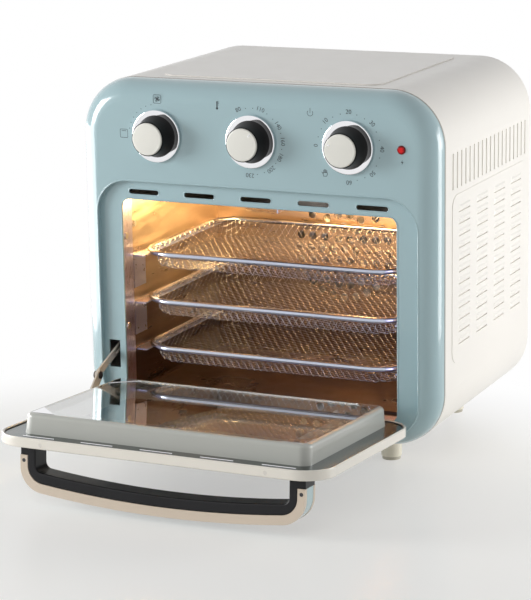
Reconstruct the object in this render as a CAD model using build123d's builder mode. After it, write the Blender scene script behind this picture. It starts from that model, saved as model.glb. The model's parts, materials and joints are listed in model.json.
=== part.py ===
from build123d import *
import math
import os

os.makedirs("parts", exist_ok=True)

# Air fryer oven with a drop-down front door, three wire baskets and three knobs.
# Sizes are in millimetres. X runs to the right of someone facing the front, Y to the back, Z up.
# The origin is on the ground, under the middle of the oven as it stands with its door open.

# Casing: one sheet wrapped round the top, the sides and the lower corners
casing_width = 340.0
casing_height = 311.0
casing_depth = 226.0
casing_corner = 48.0
casing_wall = 1.2
foot_height = 24.5
foot_radius = 10.0
foot_taper = 0.8
foot_pad_height = 3.0
foot_pad_radius = 8.2
foot_side_inset = 62.0
foot_end_inset = 32.0
base_cutout_width = 238.0
base_sheet = 1.2
base_lap = 3.0
base_vent_count = 7
base_vent_pitch = 16.0
base_vent_length = 120.0
base_vent_width = 4.0
plateau_width = 210.0
plateau_depth = 196.0
plateau_corner = 14.0
plateau_rise = 0.8

# Vents in the casing's sides
side_slot_count = 19
side_slot_pitch = 10.7
side_slot_width = 3.0
side_slot_height = 31.5
side_slot_front = 19.3
side_slot_mid_height = 264.0
louvre_columns = 4
louvre_rows = 12
louvre_column_pitch = 46.2
louvre_row_pitch = 10.65
louvre_length = 28.0
louvre_gap = 1.0
louvre_front = 47.3
louvre_mid_height = 168.5
louvre_hood_height = 5.4
louvre_hood_slope = 62.0
louvre_hood_rise = 1.3
side_pad_rise = 0.5
side_pad_margin = 16.0
side_pad_corner = 12.0

# Front panel: a rounded frame with a shallow recess that the shut door fills
panel_depth = 20.5
panel_round = 19.0
panel_wall = 2.0
panel_lip = 5.0
recess_width = 305.8
recess_top = 245.4
recess_bottom = 36.0
recess_corner = 30.0
recess_depth = 6.5
recess_edge_bevel = 1.0
recess_edge_slope = 45.0
opening_width = 263.6
opening_bottom = 47.0
opening_top = 228.0
opening_corner = 8.0
vent_slot_count = 5
vent_slot_pitch = 54.6
vent_slot_length = 30.0
vent_slot_height = 5.2
vent_slot_mid_height = 234.7

# Cooking cavity of thin sheet
cavity_sheet = 1.0
cavity_depth = 199.0
frame_wall = 1.2
frame_depth = 17.0
frame_flange = 2.4
cavity_lap = 0.05
heater_hole_gap = 0.1
guard_ring_count = 5
guard_ring_step = 11.5
guard_hole_radius = 3.9
fan_mid_height = 150.0

# Rails for the baskets, on both side walls. Depths are taken from the panel's rear rim
rail_ledge = 11.7
rail_sheet = 1.2
rail_front = 7.0
rail_length = 174.0
rail_tab_depth = 22.0
rail_tab_height = 31.0
rail_tab_levels = ("upper", "middle")
rail_clearance = 0.3

# Baskets, their depths taken from the panel's rear rim
basket_rim_heights = {"upper": 174.8, "middle": 131.1, "lower": 87.4}
basket_half_width = 125.5
basket_front = 4.5
basket_depth = 172.0
basket_corner = 30.0
basket_wire_radius = 2.5
basket_rim_bite = 0.5
basket_drop = 14.0
basket_wall = 0.9
basket_wall_inset = 7.0
net_sheet = 0.9
net_columns = 14
net_rows = 10
net_strand = 2.0
net_edge = 6.0

# Heater, its clip and the drip tray, with depths taken from the panel's rear rim
heater_radius = 3.3
heater_half_width = 88.0
heater_front = 38.0
heater_bend = 22.0
heater_drop = 9.0
heater_tail = 7.0
heater_clip_width = 12.0
heater_clip_sheet = 1.2
drip_tray_sheet = 0.8
drip_tray_height = 3.0
drip_tray_side_gap = 4.0
drip_tray_front_gap = 12.0
drip_tray_rear_gap = 8.0

# Fan at the back of the cavity
fan_radius = 54.0
fan_blade_depth = 9.0
fan_blade_sheet = 1.0
fan_blade_count = 8
fan_disc_sheet = 1.2
fan_hub_radius = 10.0
fan_blade_margin = 1.0
fan_shaft_radius = 2.5
fan_shaft_gap = 1.0
fan_wall_gap = 3.5
chamber_radius = 64.0
chamber_depth = 19.5
chamber_sheet = 1.0
motor_radius = 24.0
motor_depth = 13.0
motor_standoff = 1.0
running_gap = 0.05

# Rear cover, its spacers and the cord's gland
rear_cover_sheet = 1.2
rear_cover_inset = 0.8
rear_cover_gap = 0.1
rear_vent_rows = 9
rear_vent_pitch = 9.0
rear_vent_length = 60.0
rear_vent_height = 4.0
rear_vent_mid_height = 255.0
rear_vent_side = 60.0
spacer_radius = 7.0
spacer_reach = 6.0
spacer_side = 112.0
spacer_height = 290.0
spacer_bevel = 1.0
gland_radius = 6.5
gland_bore = 3.5
gland_reach = 5.0
gland_side = 120.0
gland_height = 62.0

# Door, drawn about its hinge axis: "up" runs from the axis to the door's top edge,
# "in" runs from the axis towards the cavity when the door is shut
door_open_angle = 86.0
door_gap = 2.0
door_corner = 28.0
door_thickness = 8.0
door_seat = 1.0
door_skin = 1.6
door_edge_wall = 2.4
door_edge_round = 1.6
hinge_in_front = 1.0
hinge_above_edge = 3.5
liner_sheet = 1.2
liner_set_back = 0.5
liner_gap = 0.1
liner_slot_count = 5
liner_slot_pitch = 54.6
liner_slot_length = 29.5
liner_slot_height = 2.6
liner_slot_margin = 9.0
block_half_width = 130.6
block_top_half_width = 129.6
block_low = 9.7
block_high = 182.2
block_end_taper = 1.8
block_rise = 16.4
block_corner = 9.0
block_top_round = 3.4
window_half_width = 110.0
window_low = 27.0
window_high = 165.0
window_corner = 8.0
inner_glass_side_lap = 15.4
inner_glass_end_lap = 10.6
inner_glass_sheet = 3.4
outer_glass_lap = 7.0
outer_glass_sheet = 3.0
outer_window_inset = 4.0
screw_radius = 1.6
screw_gap = 0.1
screw_depth = 1.2
door_screw_side = 102.0

# Hinges at the foot of the door
hinge_side = 112.0
hinge_lug_width = 6.0
hinge_lug_radius = 4.2
hinge_ear_width = 5.5
hinge_ear_gap = 1.5
hinge_pin_radius = 2.0
hinge_leaf_length = 8.0
hinge_leaf_start = 7.0
hinge_notch_clear = 0.5
hinge_notch_up = 5.5

# Stay that holds the open door, on the left side
stay_side = 143.1
stay_sheet = 1.6
stay_gap = 0.7
stay_pivot_up = 27.0
stay_pivot_in = 29.0
stay_pivot_round = 5.0
stay_root_up = 47.0
stay_root_width = 14.0
stay_tab_width = 7.0
stay_tab_sheet = 1.0
stay_arm_length = 60.0
stay_arm_width = 7.0
stay_arm_angle = 20.0
stay_guide_length = 24.0
stay_guide_width = 3.0
stay_pin_radius = 2.0
stay_head_radius = 3.4
stay_head_sheet = 1.0
stay_head_gap = 0.3
stay_slot_width = 11.0
stay_slot_bottom = 71.0
stay_slot_top = 96.5

# Handle, a bar on two posts across the door's outer face
handle_half_width = 130.0
handle_reach = 48.0
handle_bow = 9.0
handle_depth = 20.0
handle_below_top = 16.0
handle_corner = 22.0
handle_edge_round = 1.4
grip_thickness = 9.4
grip_post_thickness = 7.4
grip_corner = 6.0
cover_thickness = 8.0
cover_post_thickness = 6.8
cover_start = 10.0
inlay_depth = 13.0
inlay_sheet = 1.0
inlay_groove = 1.2
handle_screw_drop = 4.6

# Knobs and lamp
knob_pitch = 90.8
knob_height = 287.3
knob_gap = 0.8
knob_skirt_radius = 23.2
knob_skirt_flat = 3.2
knob_cone_radius = 21.4
knob_front_radius = 15.2
knob_front = 19.6
knob_cap_radius = 14.3
knob_cap_front = 20.8
knob_cap_seat = 15.0
knob_cap_round = 0.8
knob_shaft_radius = 3.0
knob_shaft_length = 27.0
bushing_radius = 5.0
bushing_gap = 0.2
control_side = 36.0
control_depth = 15.0
lamp_side = 138.6
lamp_height = 287.7
lamp_radius = 3.8
lamp_barrel_radius = 3.0
lamp_barrel_gap = 0.2
lamp_barrel_length = 12.0
lamp_bulge = 2.0
lamp_round = 1.8

# Screws in the cavity's side walls and in its frame
wall_screw_behind_rim = 11.0
wall_screw_height = 200.0
frame_screw_before_rim = 7.0
frame_screw_heights = {"upper": 192.0, "lower": 109.0}
cavity_screw_radius = 3.0
cavity_screw_rise = 0.8

# The open door's top edge leads in front, the spacers behind, and the origin lies midway
door_tilt = math.radians(90.0 - door_open_angle)
door_in_face = hinge_in_front + door_thickness
shut_in_face = recess_depth - panel_depth - door_seat
hinge_from_rim = shut_in_face - door_in_face
hinge_z = recess_bottom + door_gap + hinge_above_edge
door_low = -hinge_above_edge
door_high = recess_top - door_gap - hinge_z
tip_up = (door_high - door_edge_round) * math.cos(door_tilt)
tip_in = (hinge_in_front + door_edge_round) * math.sin(door_tilt)
front_reach = tip_up - tip_in + door_edge_round - hinge_from_rim
rear_reach = casing_depth + spacer_reach
rim_y = (front_reach - rear_reach) / 2

face_y = rim_y - panel_depth
recess_floor_y = face_y + recess_depth
hinge_y = rim_y + hinge_from_rim
rear_y = rim_y + casing_depth
casing_bottom = foot_height
casing_top = foot_height + casing_height
casing_mid_z = foot_height + casing_height / 2
sides = {"left": -1, "right": 1}
foot_rows = (rim_y + foot_end_inset, rear_y - foot_end_inset)


def front_plane(y):
    """Upright plane across the oven at depth y. Its normal faces the viewer, its own y is height."""
    return Plane(origin=(0, y, 0), x_dir=(1, 0, 0), z_dir=(0, -1, 0))


def side_plane(side, x):
    """Upright plane along the oven's left (-1) or right (1) side, its normal facing outwards."""
    return Plane(origin=(side * x, 0, 0), x_dir=(0, side, 0), z_dir=(side, 0, 0))


def profile_plane(x):
    """Upright plane along the oven at x, drawn in depth and height."""
    return Plane(origin=(x, 0, 0), x_dir=(0, 1, 0), z_dir=(1, 0, 0))


up_dir = Vector(0, -math.cos(door_tilt), math.sin(door_tilt))
in_dir = Vector(0, math.sin(door_tilt), math.cos(door_tilt))
hinge_point = Vector(0, hinge_y, hinge_z)


def door_layer(depth_in):
    """Plane parallel to the open door's face. Its own y runs from the top edge to the hinge."""
    origin = hinge_point + in_dir * depth_in
    return Plane(origin=origin, x_dir=(1, 0, 0), z_dir=in_dir)


def door_section(up):
    """Plane across the door at a distance from the hinge, drawn in x and depth."""
    return Plane(origin=hinge_point + up_dir * up, x_dir=(1, 0, 0), z_dir=up_dir)


def door_profile(x):
    """Plane square to the hinge axis at x, drawn in the door's own up and in."""
    return Plane(origin=(x, hinge_y, hinge_z), x_dir=up_dir, z_dir=(-1, 0, 0))


def door_place(low, high):
    """Middle of a stretch of the door from low to high, on a door layer."""
    return (0, -(low + high) / 2)


# Front panel
recess_height = recess_top - recess_bottom
recess_mid_z = (recess_top + recess_bottom) / 2
opening_height = opening_top - opening_bottom
opening_mid_z = (opening_top + opening_bottom) / 2
pocket_depth = panel_depth - recess_depth - panel_wall
high_pocket_bottom = recess_top + panel_lip
high_pocket_top = casing_top - panel_round - panel_wall
high_pocket_width = casing_width - 2 * (panel_round + panel_wall)
stay_slot_height = stay_slot_top - stay_slot_bottom
stay_slot_mid_z = (stay_slot_top + stay_slot_bottom) / 2

with BuildPart() as front_panel:
    with BuildSketch(front_plane(rim_y)):
        with Locations((0, casing_mid_z)):
            RectangleRounded(casing_width, casing_height, casing_corner)
    extrude(amount=panel_depth)
    fillet(front_panel.faces().sort_by(Axis.Y)[0].edges(), radius=panel_round)
    with BuildSketch(front_plane(recess_floor_y)):
        with Locations((0, recess_mid_z)):
            RectangleRounded(recess_width, recess_height, recess_corner)
    extrude(amount=2 * recess_depth, mode=Mode.SUBTRACT)
    with BuildSketch(front_plane(face_y + recess_edge_bevel)):
        with Locations((0, recess_mid_z)):
            RectangleRounded(recess_width, recess_height, recess_corner)
    extrude(amount=2 * recess_edge_bevel, taper=-recess_edge_slope, mode=Mode.SUBTRACT)
    with BuildSketch(front_plane(rim_y)):
        with Locations((0, casing_mid_z)):
            RectangleRounded(
                casing_width - 2 * panel_lip,
                casing_height - 2 * panel_lip,
                casing_corner - panel_lip,
            )
    extrude(amount=pocket_depth, mode=Mode.SUBTRACT)
    with BuildSketch(front_plane(rim_y)):
        with Locations((0, (high_pocket_bottom + high_pocket_top) / 2)):
            RectangleRounded(
                high_pocket_width,
                high_pocket_top - high_pocket_bottom,
                casing_corner - panel_round - panel_wall,
            )
    extrude(amount=panel_depth - panel_wall, mode=Mode.SUBTRACT)
    with BuildSketch(front_plane(recess_floor_y)):
        with Locations((0, opening_mid_z)):
            RectangleRounded(opening_width, opening_height, opening_corner)
        with Locations((0, vent_slot_mid_height)):
            with GridLocations(vent_slot_pitch, 0, vent_slot_count, 1):
                SlotOverall(vent_slot_length, vent_slot_height)
        with Locations((-stay_side, stay_slot_mid_z)):
            Rectangle(stay_slot_width, stay_slot_height)
    extrude(amount=2 * panel_wall, both=True, mode=Mode.SUBTRACT)
    with BuildSketch(front_plane(face_y)):
        with Locations((0, knob_height)):
            with GridLocations(knob_pitch, 0, 3, 1):
                Circle(bushing_radius + bushing_gap)
        with Locations((lamp_side, lamp_height)):
            Circle(lamp_barrel_radius + lamp_barrel_gap)
    extrude(amount=2 * panel_wall, both=True, mode=Mode.SUBTRACT)
front_panel.part.label = "front_panel"
export_step(front_panel.part, "parts/front_panel.step")

# Casing
louvre_mid_y = rim_y + louvre_front + louvre_column_pitch * (louvre_columns - 1) / 2
slot_mid_y = rim_y + side_slot_front + side_slot_pitch * (side_slot_count - 1) / 2
pad_depth = louvre_column_pitch * (louvre_columns - 1) + louvre_length + 2 * side_pad_margin
pad_height = louvre_row_pitch * (louvre_rows - 1) + 2 * side_pad_margin
casing_half = casing_width / 2
casing_mid_y = rim_y + casing_depth / 2

with BuildPart() as casing:
    with BuildSketch(front_plane(rear_y)):
        with Locations((0, casing_mid_z)):
            RectangleRounded(casing_width, casing_height, casing_corner)
            RectangleRounded(
                casing_width - 2 * casing_wall,
                casing_height - 2 * casing_wall,
                casing_corner - casing_wall,
                mode=Mode.SUBTRACT,
            )
    extrude(amount=casing_depth)
    with BuildSketch(Plane.XY.offset(casing_top)):
        with Locations((0, casing_mid_y)):
            RectangleRounded(plateau_width, plateau_depth, plateau_corner)
    extrude(amount=plateau_rise)
    with BuildSketch(Plane.XY.offset(casing_bottom)):
        with Locations((0, casing_mid_y)):
            Rectangle(base_cutout_width, casing_depth - 2 * base_lap)
    extrude(amount=2 * casing_wall, both=True, mode=Mode.SUBTRACT)
    for side in sides.values():
        with BuildSketch(side_plane(side, casing_half)):
            with Locations((side * louvre_mid_y, louvre_mid_height)):
                RectangleRounded(pad_depth, pad_height, side_pad_corner)
        extrude(amount=side_pad_rise)
        with BuildSketch(side_plane(side, casing_half + side_pad_rise)):
            hood_lift = (louvre_gap + louvre_hood_height) / 2
            with Locations((side * louvre_mid_y, louvre_mid_height + hood_lift)):
                with GridLocations(louvre_column_pitch, louvre_row_pitch, louvre_columns, louvre_rows):
                    Rectangle(louvre_length, louvre_hood_height)
        extrude(amount=louvre_hood_rise - side_pad_rise, taper=louvre_hood_slope)
        with BuildSketch(side_plane(side, casing_half)):
            with Locations((side * louvre_mid_y, louvre_mid_height)):
                with GridLocations(louvre_column_pitch, louvre_row_pitch, louvre_columns, louvre_rows):
                    Rectangle(louvre_length, louvre_gap)
            with Locations((side * slot_mid_y, side_slot_mid_height)):
                with GridLocations(side_slot_pitch, 0, side_slot_count, 1):
                    Rectangle(side_slot_width, side_slot_height)
        extrude(amount=2 * casing_wall, both=True, mode=Mode.SUBTRACT)
casing.part.label = "casing"
export_step(casing.part, "parts/casing.step")

# Base plate and feet
base_z = casing_bottom + casing_wall
base_width = base_cutout_width + 2 * base_lap

with BuildPart() as base_plate:
    with BuildSketch(Plane.XY.offset(base_z)):
        with Locations((0, casing_mid_y)):
            Rectangle(base_width, casing_depth - 2 * base_lap)
            with GridLocations(0, base_vent_pitch, 1, base_vent_count):
                SlotOverall(base_vent_length, base_vent_width, mode=Mode.SUBTRACT)
    extrude(amount=base_sheet)
base_plate.part.label = "base_plate"
export_step(base_plate.part, "parts/base_plate.step")

foot_side = casing_half - foot_side_inset

foot_places = [(side * foot_side, foot_y) for side in sides.values() for foot_y in foot_rows]

with BuildPart() as feet:
    for foot_place in foot_places:
        with BuildSketch(Plane.XY.offset(foot_pad_height)):
            with Locations(foot_place):
                Circle(foot_radius - foot_taper)
        with BuildSketch(Plane.XY.offset(base_z)):
            with Locations(foot_place):
                Circle(foot_radius)
        loft()
feet.part.label = "feet"
export_step(feet.part, "parts/feet.step")

with BuildPart() as foot_pads:
    with BuildSketch():
        with Locations(*foot_places):
            Circle(foot_pad_radius)
    extrude(amount=foot_pad_height)
foot_pads.part.label = "foot_pads"
export_step(foot_pads.part, "parts/foot_pads.step")

# Rear cover, spacers and gland
cover_back_y = rear_y - rear_cover_inset
cover_shrink = 2 * (casing_wall + rear_cover_gap)

with BuildPart() as rear_cover:
    with BuildSketch(front_plane(cover_back_y)):
        with Locations((0, casing_mid_z)):
            RectangleRounded(
                casing_width - cover_shrink,
                casing_height - cover_shrink,
                casing_corner - cover_shrink / 2,
            )
        for side in sides.values():
            with Locations((side * rear_vent_side, rear_vent_mid_height)):
                with GridLocations(0, rear_vent_pitch, 1, rear_vent_rows):
                    SlotOverall(rear_vent_length, rear_vent_height, mode=Mode.SUBTRACT)
        with Locations((gland_side, gland_height)):
            Circle(gland_bore, mode=Mode.SUBTRACT)
    extrude(amount=rear_cover_sheet)
rear_cover.part.label = "rear_cover"
export_step(rear_cover.part, "parts/rear_cover.step")

with BuildPart() as rear_spacers:
    with BuildSketch(front_plane(rear_y + spacer_reach)):
        with Locations((-spacer_side, spacer_height), (spacer_side, spacer_height)):
            Circle(spacer_radius)
    extrude(amount=spacer_reach + rear_cover_inset)
    chamfer(rear_spacers.edges().group_by(Axis.Y)[-1], length=spacer_bevel)
rear_spacers.part.label = "rear_spacers"
export_step(rear_spacers.part, "parts/rear_spacers.step")

with BuildPart() as cord_gland:
    with BuildSketch(front_plane(cover_back_y + gland_reach)):
        with Locations((gland_side, gland_height)):
            Circle(gland_radius)
            Circle(gland_bore, mode=Mode.SUBTRACT)
    extrude(amount=gland_reach)
cord_gland.part.label = "cord_gland"
export_step(cord_gland.part, "parts/cord_gland.step")

# Cavity: a short frame behind the opening, then four walls and a perforated back
frame_front_y = recess_floor_y + panel_wall
wall_front_y = frame_front_y + frame_wall + panel_wall
cavity_back_y = recess_floor_y + cavity_depth
cavity_half = opening_width / 2 + frame_wall + cavity_lap
cavity_floor_z = opening_bottom - frame_wall - cavity_lap
cavity_top_z = opening_top + frame_wall + cavity_lap
cavity_height = cavity_top_z - cavity_floor_z
cavity_mid_z = (cavity_top_z + cavity_floor_z) / 2
wall_run = cavity_back_y + cavity_sheet - wall_front_y

with BuildPart() as cavity_frame:
    with BuildSketch(front_plane(frame_front_y + frame_depth)):
        with Locations((0, opening_mid_z)):
            Rectangle(opening_width + 2 * frame_wall, opening_height + 2 * frame_wall)
            Rectangle(opening_width, opening_height, mode=Mode.SUBTRACT)
    extrude(amount=frame_depth)
    with BuildSketch(front_plane(frame_front_y + frame_wall)):
        with Locations((0, opening_mid_z)):
            Rectangle(
                opening_width + 2 * (frame_wall + frame_flange),
                opening_height + 2 * (frame_wall + frame_flange),
            )
            Rectangle(opening_width, opening_height, mode=Mode.SUBTRACT)
    extrude(amount=frame_wall)
cavity_frame.part.label = "cavity_frame"
export_step(cavity_frame.part, "parts/cavity_frame.step")

for side_name, side in sides.items():
    with BuildPart() as cavity_wall:
        with BuildSketch(front_plane(wall_front_y + wall_run)):
            with Locations((side * (cavity_half + cavity_sheet / 2), cavity_mid_z)):
                Rectangle(cavity_sheet, cavity_height)
        extrude(amount=wall_run)
    cavity_wall.part.label = f"cavity_wall_{side_name}"
    export_step(cavity_wall.part, f"parts/cavity_wall_{side_name}.step")

flat_sheets = {"cavity_ceiling": cavity_top_z, "cavity_floor": cavity_floor_z - cavity_sheet}

for sheet_name, sheet_z in flat_sheets.items():
    with BuildPart() as flat_sheet:
        with BuildSketch(Plane.XY.offset(sheet_z)):
            with Locations((0, wall_front_y + wall_run / 2)):
                Rectangle(2 * (cavity_half + cavity_sheet), wall_run)
        extrude(amount=cavity_sheet)
    flat_sheet.part.label = sheet_name
    export_step(flat_sheet.part, f"parts/{sheet_name}.step")

heater_hole_radius = heater_radius + heater_hole_gap
heater_z = cavity_top_z - heater_drop

with BuildPart() as cavity_back:
    with BuildSketch(front_plane(cavity_back_y + cavity_sheet)):
        with Locations((0, cavity_mid_z)):
            Rectangle(2 * cavity_half, cavity_height)
        with Locations((0, fan_mid_height)):
            Circle(guard_hole_radius, mode=Mode.SUBTRACT)
            for ring in range(1, guard_ring_count):
                with PolarLocations(ring * guard_ring_step, 6 * ring):
                    Circle(guard_hole_radius, mode=Mode.SUBTRACT)
        with Locations((-heater_half_width, heater_z), (heater_half_width, heater_z)):
            Circle(heater_hole_radius, mode=Mode.SUBTRACT)
    extrude(amount=cavity_sheet)
cavity_back.part.label = "cavity_back"
export_step(cavity_back.part, "parts/cavity_back.step")

frame_screw_y = rim_y - frame_screw_before_rim
wall_screw_y = rim_y + wall_screw_behind_rim

with BuildPart() as cavity_screws:
    for side in sides.values():
        with BuildSketch(side_plane(-side, -cavity_half)):
            with Locations((-side * wall_screw_y, wall_screw_height)):
                Circle(cavity_screw_radius)
        extrude(amount=cavity_screw_rise)
        with BuildSketch(side_plane(-side, -opening_width / 2)):
            for screw_height in frame_screw_heights.values():
                with Locations((-side * frame_screw_y, screw_height)):
                    Circle(cavity_screw_radius)
        extrude(amount=cavity_screw_rise)
cavity_screws.part.label = "cavity_screws"
export_step(cavity_screws.part, "parts/cavity_screws.step")

# Rails: three ledges on each side wall, with a tab at the front end of the upper two
rail_drop = basket_wire_radius + rail_clearance
rail_front_y = rim_y + rail_front
rail_mid_y = rail_front_y + rail_length / 2
rail_tab_mid_y = rail_front_y + rail_tab_depth / 2
ledge_mid_side = cavity_half - rail_ledge / 2
tab_mid_side = cavity_half - rail_sheet / 2

for side_name, side in sides.items():
    with BuildPart() as rails:
        for level_name, rim_z in basket_rim_heights.items():
            ledge_top = rim_z - rail_drop
            with BuildSketch(Plane.XY.offset(ledge_top - rail_sheet)):
                with Locations((side * ledge_mid_side, rail_mid_y)):
                    Rectangle(rail_ledge, rail_length)
            extrude(amount=rail_sheet)
            if level_name in rail_tab_levels:
                with BuildSketch(Plane.XY.offset(ledge_top - rail_tab_height)):
                    with Locations((side * tab_mid_side, rail_tab_mid_y)):
                        Rectangle(rail_sheet, rail_tab_depth)
                extrude(amount=rail_tab_height)
    rails.part.label = f"rails_{side_name}"
    export_step(rails.part, f"parts/rails_{side_name}.step")

# Baskets: a wire rim and a tray of sheet with a net floor
basket_front_y = rim_y + basket_front
basket_back_y = basket_front_y + basket_depth
basket_mid_y = (basket_front_y + basket_back_y) / 2
tray_width = 2 * (basket_half_width - basket_wall_inset)
tray_depth = basket_depth - 2 * basket_wall_inset
tray_corner = basket_corner - basket_wall_inset
collar_inset = basket_wire_radius - basket_rim_bite
collar_width = 2 * (basket_half_width - collar_inset)
collar_depth = basket_depth - 2 * collar_inset
collar_corner = basket_corner - collar_inset
net_pitch_x = (tray_width - 2 * net_edge) / net_columns
net_pitch_y = (tray_depth - 2 * net_edge) / net_rows
gap_half_x = (net_pitch_x - net_strand) / 2
gap_half_y = (net_pitch_y - net_strand) / 2


def diamonds(columns, rows):
    """Diamond gaps on a grid of columns and rows, added to the sketch in hand."""
    with GridLocations(net_pitch_x, net_pitch_y, columns, rows):
        Polygon((-gap_half_x, 0), (0, -gap_half_y), (gap_half_x, 0), (0, gap_half_y))


for level_name, rim_z in basket_rim_heights.items():
    net_z = rim_z - basket_drop
    with BuildPart() as basket_rim:
        with BuildLine(Plane.XY.offset(rim_z)) as rim_path:
            FilletPolyline(
                (-basket_half_width, basket_front_y),
                (basket_half_width, basket_front_y),
                (basket_half_width, basket_back_y),
                (-basket_half_width, basket_back_y),
                radius=basket_corner,
                close=True,
            )
        rim_start = rim_path.wire() @ 0
        rim_heading = rim_path.wire() % 0
        with BuildSketch(Plane(origin=rim_start, z_dir=rim_heading)):
            Circle(basket_wire_radius)
        sweep(path=rim_path.wire())
    basket_rim.part.label = f"{level_name}_basket_rim"
    export_step(basket_rim.part, f"parts/{level_name}_basket_rim.step")

    with BuildPart() as basket_tray:
        with BuildSketch(Plane.XY.offset(net_z)):
            with Locations((0, basket_mid_y)):
                RectangleRounded(tray_width, tray_depth, tray_corner)
        extrude(amount=basket_drop)
        with BuildSketch(Plane.XY.offset(rim_z - basket_wall / 2)):
            with Locations((0, basket_mid_y)):
                RectangleRounded(collar_width, collar_depth, collar_corner)
        extrude(amount=basket_wall)
        with BuildSketch(Plane.XY.offset(net_z + net_sheet)):
            with Locations((0, basket_mid_y)):
                RectangleRounded(
                    tray_width - 2 * basket_wall,
                    tray_depth - 2 * basket_wall,
                    tray_corner - basket_wall,
                )
        extrude(amount=2 * basket_drop, mode=Mode.SUBTRACT)
        with BuildSketch(Plane.XY.offset(net_z)):
            with Locations((0, basket_mid_y)):
                diamonds(net_columns, net_rows)
                diamonds(net_columns - 1, net_rows - 1)
                RectangleRounded(
                    tray_width - net_edge,
                    tray_depth - net_edge,
                    tray_corner - net_edge / 2,
                    mode=Mode.INTERSECT,
                )
        extrude(amount=net_sheet, mode=Mode.SUBTRACT)
    basket_tray.part.label = f"{level_name}_basket_tray"
    export_step(basket_tray.part, f"parts/{level_name}_basket_tray.step")

# Heater, its clip and the drip tray
heater_back_y = cavity_back_y + cavity_sheet + heater_tail
heater_front_y = rim_y + heater_front

with BuildPart() as heater:
    with BuildLine(Plane.XY.offset(heater_z)) as heater_path:
        FilletPolyline(
            (-heater_half_width, heater_back_y),
            (-heater_half_width, heater_front_y),
            (heater_half_width, heater_front_y),
            (heater_half_width, heater_back_y),
            radius=heater_bend,
        )
    with BuildSketch(front_plane(heater_back_y)):
        with Locations((-heater_half_width, heater_z)):
            Circle(heater_radius)
    sweep(path=heater_path.wire())
heater.part.label = "heater"
export_step(heater.part, "parts/heater.step")

heater_clip_height = heater_drop + heater_clip_width / 2

with BuildPart() as heater_clip:
    with BuildSketch(profile_plane(0)):
        with Locations((heater_front_y, cavity_top_z - heater_clip_height / 2)):
            Rectangle(heater_clip_width, heater_clip_height)
        with Locations((heater_front_y, heater_z)):
            Circle(heater_radius, mode=Mode.SUBTRACT)
    extrude(amount=heater_clip_sheet / 2, both=True)
heater_clip.part.label = "heater_clip"
export_step(heater_clip.part, "parts/heater_clip.step")

drip_front_y = rim_y + drip_tray_front_gap
drip_back_y = cavity_back_y - drip_tray_rear_gap
drip_width = 2 * (cavity_half - drip_tray_side_gap)

with BuildPart() as drip_tray:
    with BuildSketch(Plane.XY.offset(cavity_floor_z)):
        with Locations((0, (drip_front_y + drip_back_y) / 2)):
            Rectangle(drip_width, drip_back_y - drip_front_y)
    extrude(amount=drip_tray_height)
    with BuildSketch(Plane.XY.offset(cavity_floor_z + drip_tray_sheet)):
        with Locations((0, (drip_front_y + drip_back_y) / 2)):
            Rectangle(drip_width - 2 * drip_tray_sheet, drip_back_y - drip_front_y - 2 * drip_tray_sheet)
    extrude(amount=drip_tray_height, mode=Mode.SUBTRACT)
drip_tray.part.label = "drip_tray"
export_step(drip_tray.part, "parts/drip_tray.step")

# Fan, its chamber and its motor
chamber_front_y = cavity_back_y + cavity_sheet
chamber_back_y = chamber_front_y + chamber_depth
fan_front_y = chamber_front_y + fan_wall_gap
fan_disc_y = fan_front_y + fan_blade_depth
fan_back_y = fan_disc_y + fan_disc_sheet
motor_front_y = chamber_back_y + motor_standoff
motor_back_y = motor_front_y + motor_depth
shaft_end_y = motor_back_y - motor_standoff
shaft_hole_radius = fan_shaft_radius + fan_shaft_gap
blade_length = fan_radius - fan_hub_radius
blade_mid_radius = fan_hub_radius + blade_length / 2 - fan_blade_margin

with BuildPart() as fan_chamber:
    with BuildSketch(front_plane(chamber_back_y)):
        with Locations((0, fan_mid_height)):
            Circle(chamber_radius)
    extrude(amount=chamber_depth)
    with BuildSketch(front_plane(chamber_back_y - chamber_sheet)):
        with Locations((0, fan_mid_height)):
            Circle(chamber_radius - chamber_sheet)
    extrude(amount=chamber_depth, mode=Mode.SUBTRACT)
    with BuildSketch(front_plane(chamber_back_y)):
        with Locations((0, fan_mid_height)):
            Circle(shaft_hole_radius)
    extrude(amount=chamber_depth, mode=Mode.SUBTRACT)
fan_chamber.part.label = "fan_chamber"
export_step(fan_chamber.part, "parts/fan_chamber.step")

with BuildPart() as convection_fan:
    with BuildSketch(front_plane(fan_back_y)):
        with Locations((0, fan_mid_height)):
            Circle(fan_radius)
            Circle(fan_shaft_radius, mode=Mode.SUBTRACT)
    extrude(amount=fan_disc_sheet)
    with BuildSketch(front_plane(fan_disc_y)):
        with Locations((0, fan_mid_height)):
            Circle(fan_hub_radius)
            Circle(fan_shaft_radius, mode=Mode.SUBTRACT)
            with PolarLocations(blade_mid_radius, fan_blade_count):
                Rectangle(blade_length, fan_blade_sheet)
    extrude(amount=fan_blade_depth)
convection_fan.part.label = "convection_fan"
export_step(convection_fan.part, "parts/convection_fan.step")

with BuildPart() as fan_shaft:
    with BuildSketch(front_plane(shaft_end_y)):
        with Locations((0, fan_mid_height)):
            Circle(fan_shaft_radius)
    extrude(amount=shaft_end_y - fan_front_y)
fan_shaft.part.label = "fan_shaft"
export_step(fan_shaft.part, "parts/fan_shaft.step")

with BuildPart() as fan_motor:
    with BuildSketch(front_plane(motor_back_y)):
        with Locations((0, fan_mid_height)):
            Circle(motor_radius)
            Circle(fan_shaft_radius + running_gap, mode=Mode.SUBTRACT)
    extrude(amount=motor_depth)
    with BuildSketch(front_plane(motor_front_y)):
        with Locations((0, fan_mid_height)):
            Circle(motor_radius)
            Circle(shaft_hole_radius, mode=Mode.SUBTRACT)
    extrude(amount=motor_standoff)
fan_motor.part.label = "fan_motor"
export_step(fan_motor.part, "parts/fan_motor.step")

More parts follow.
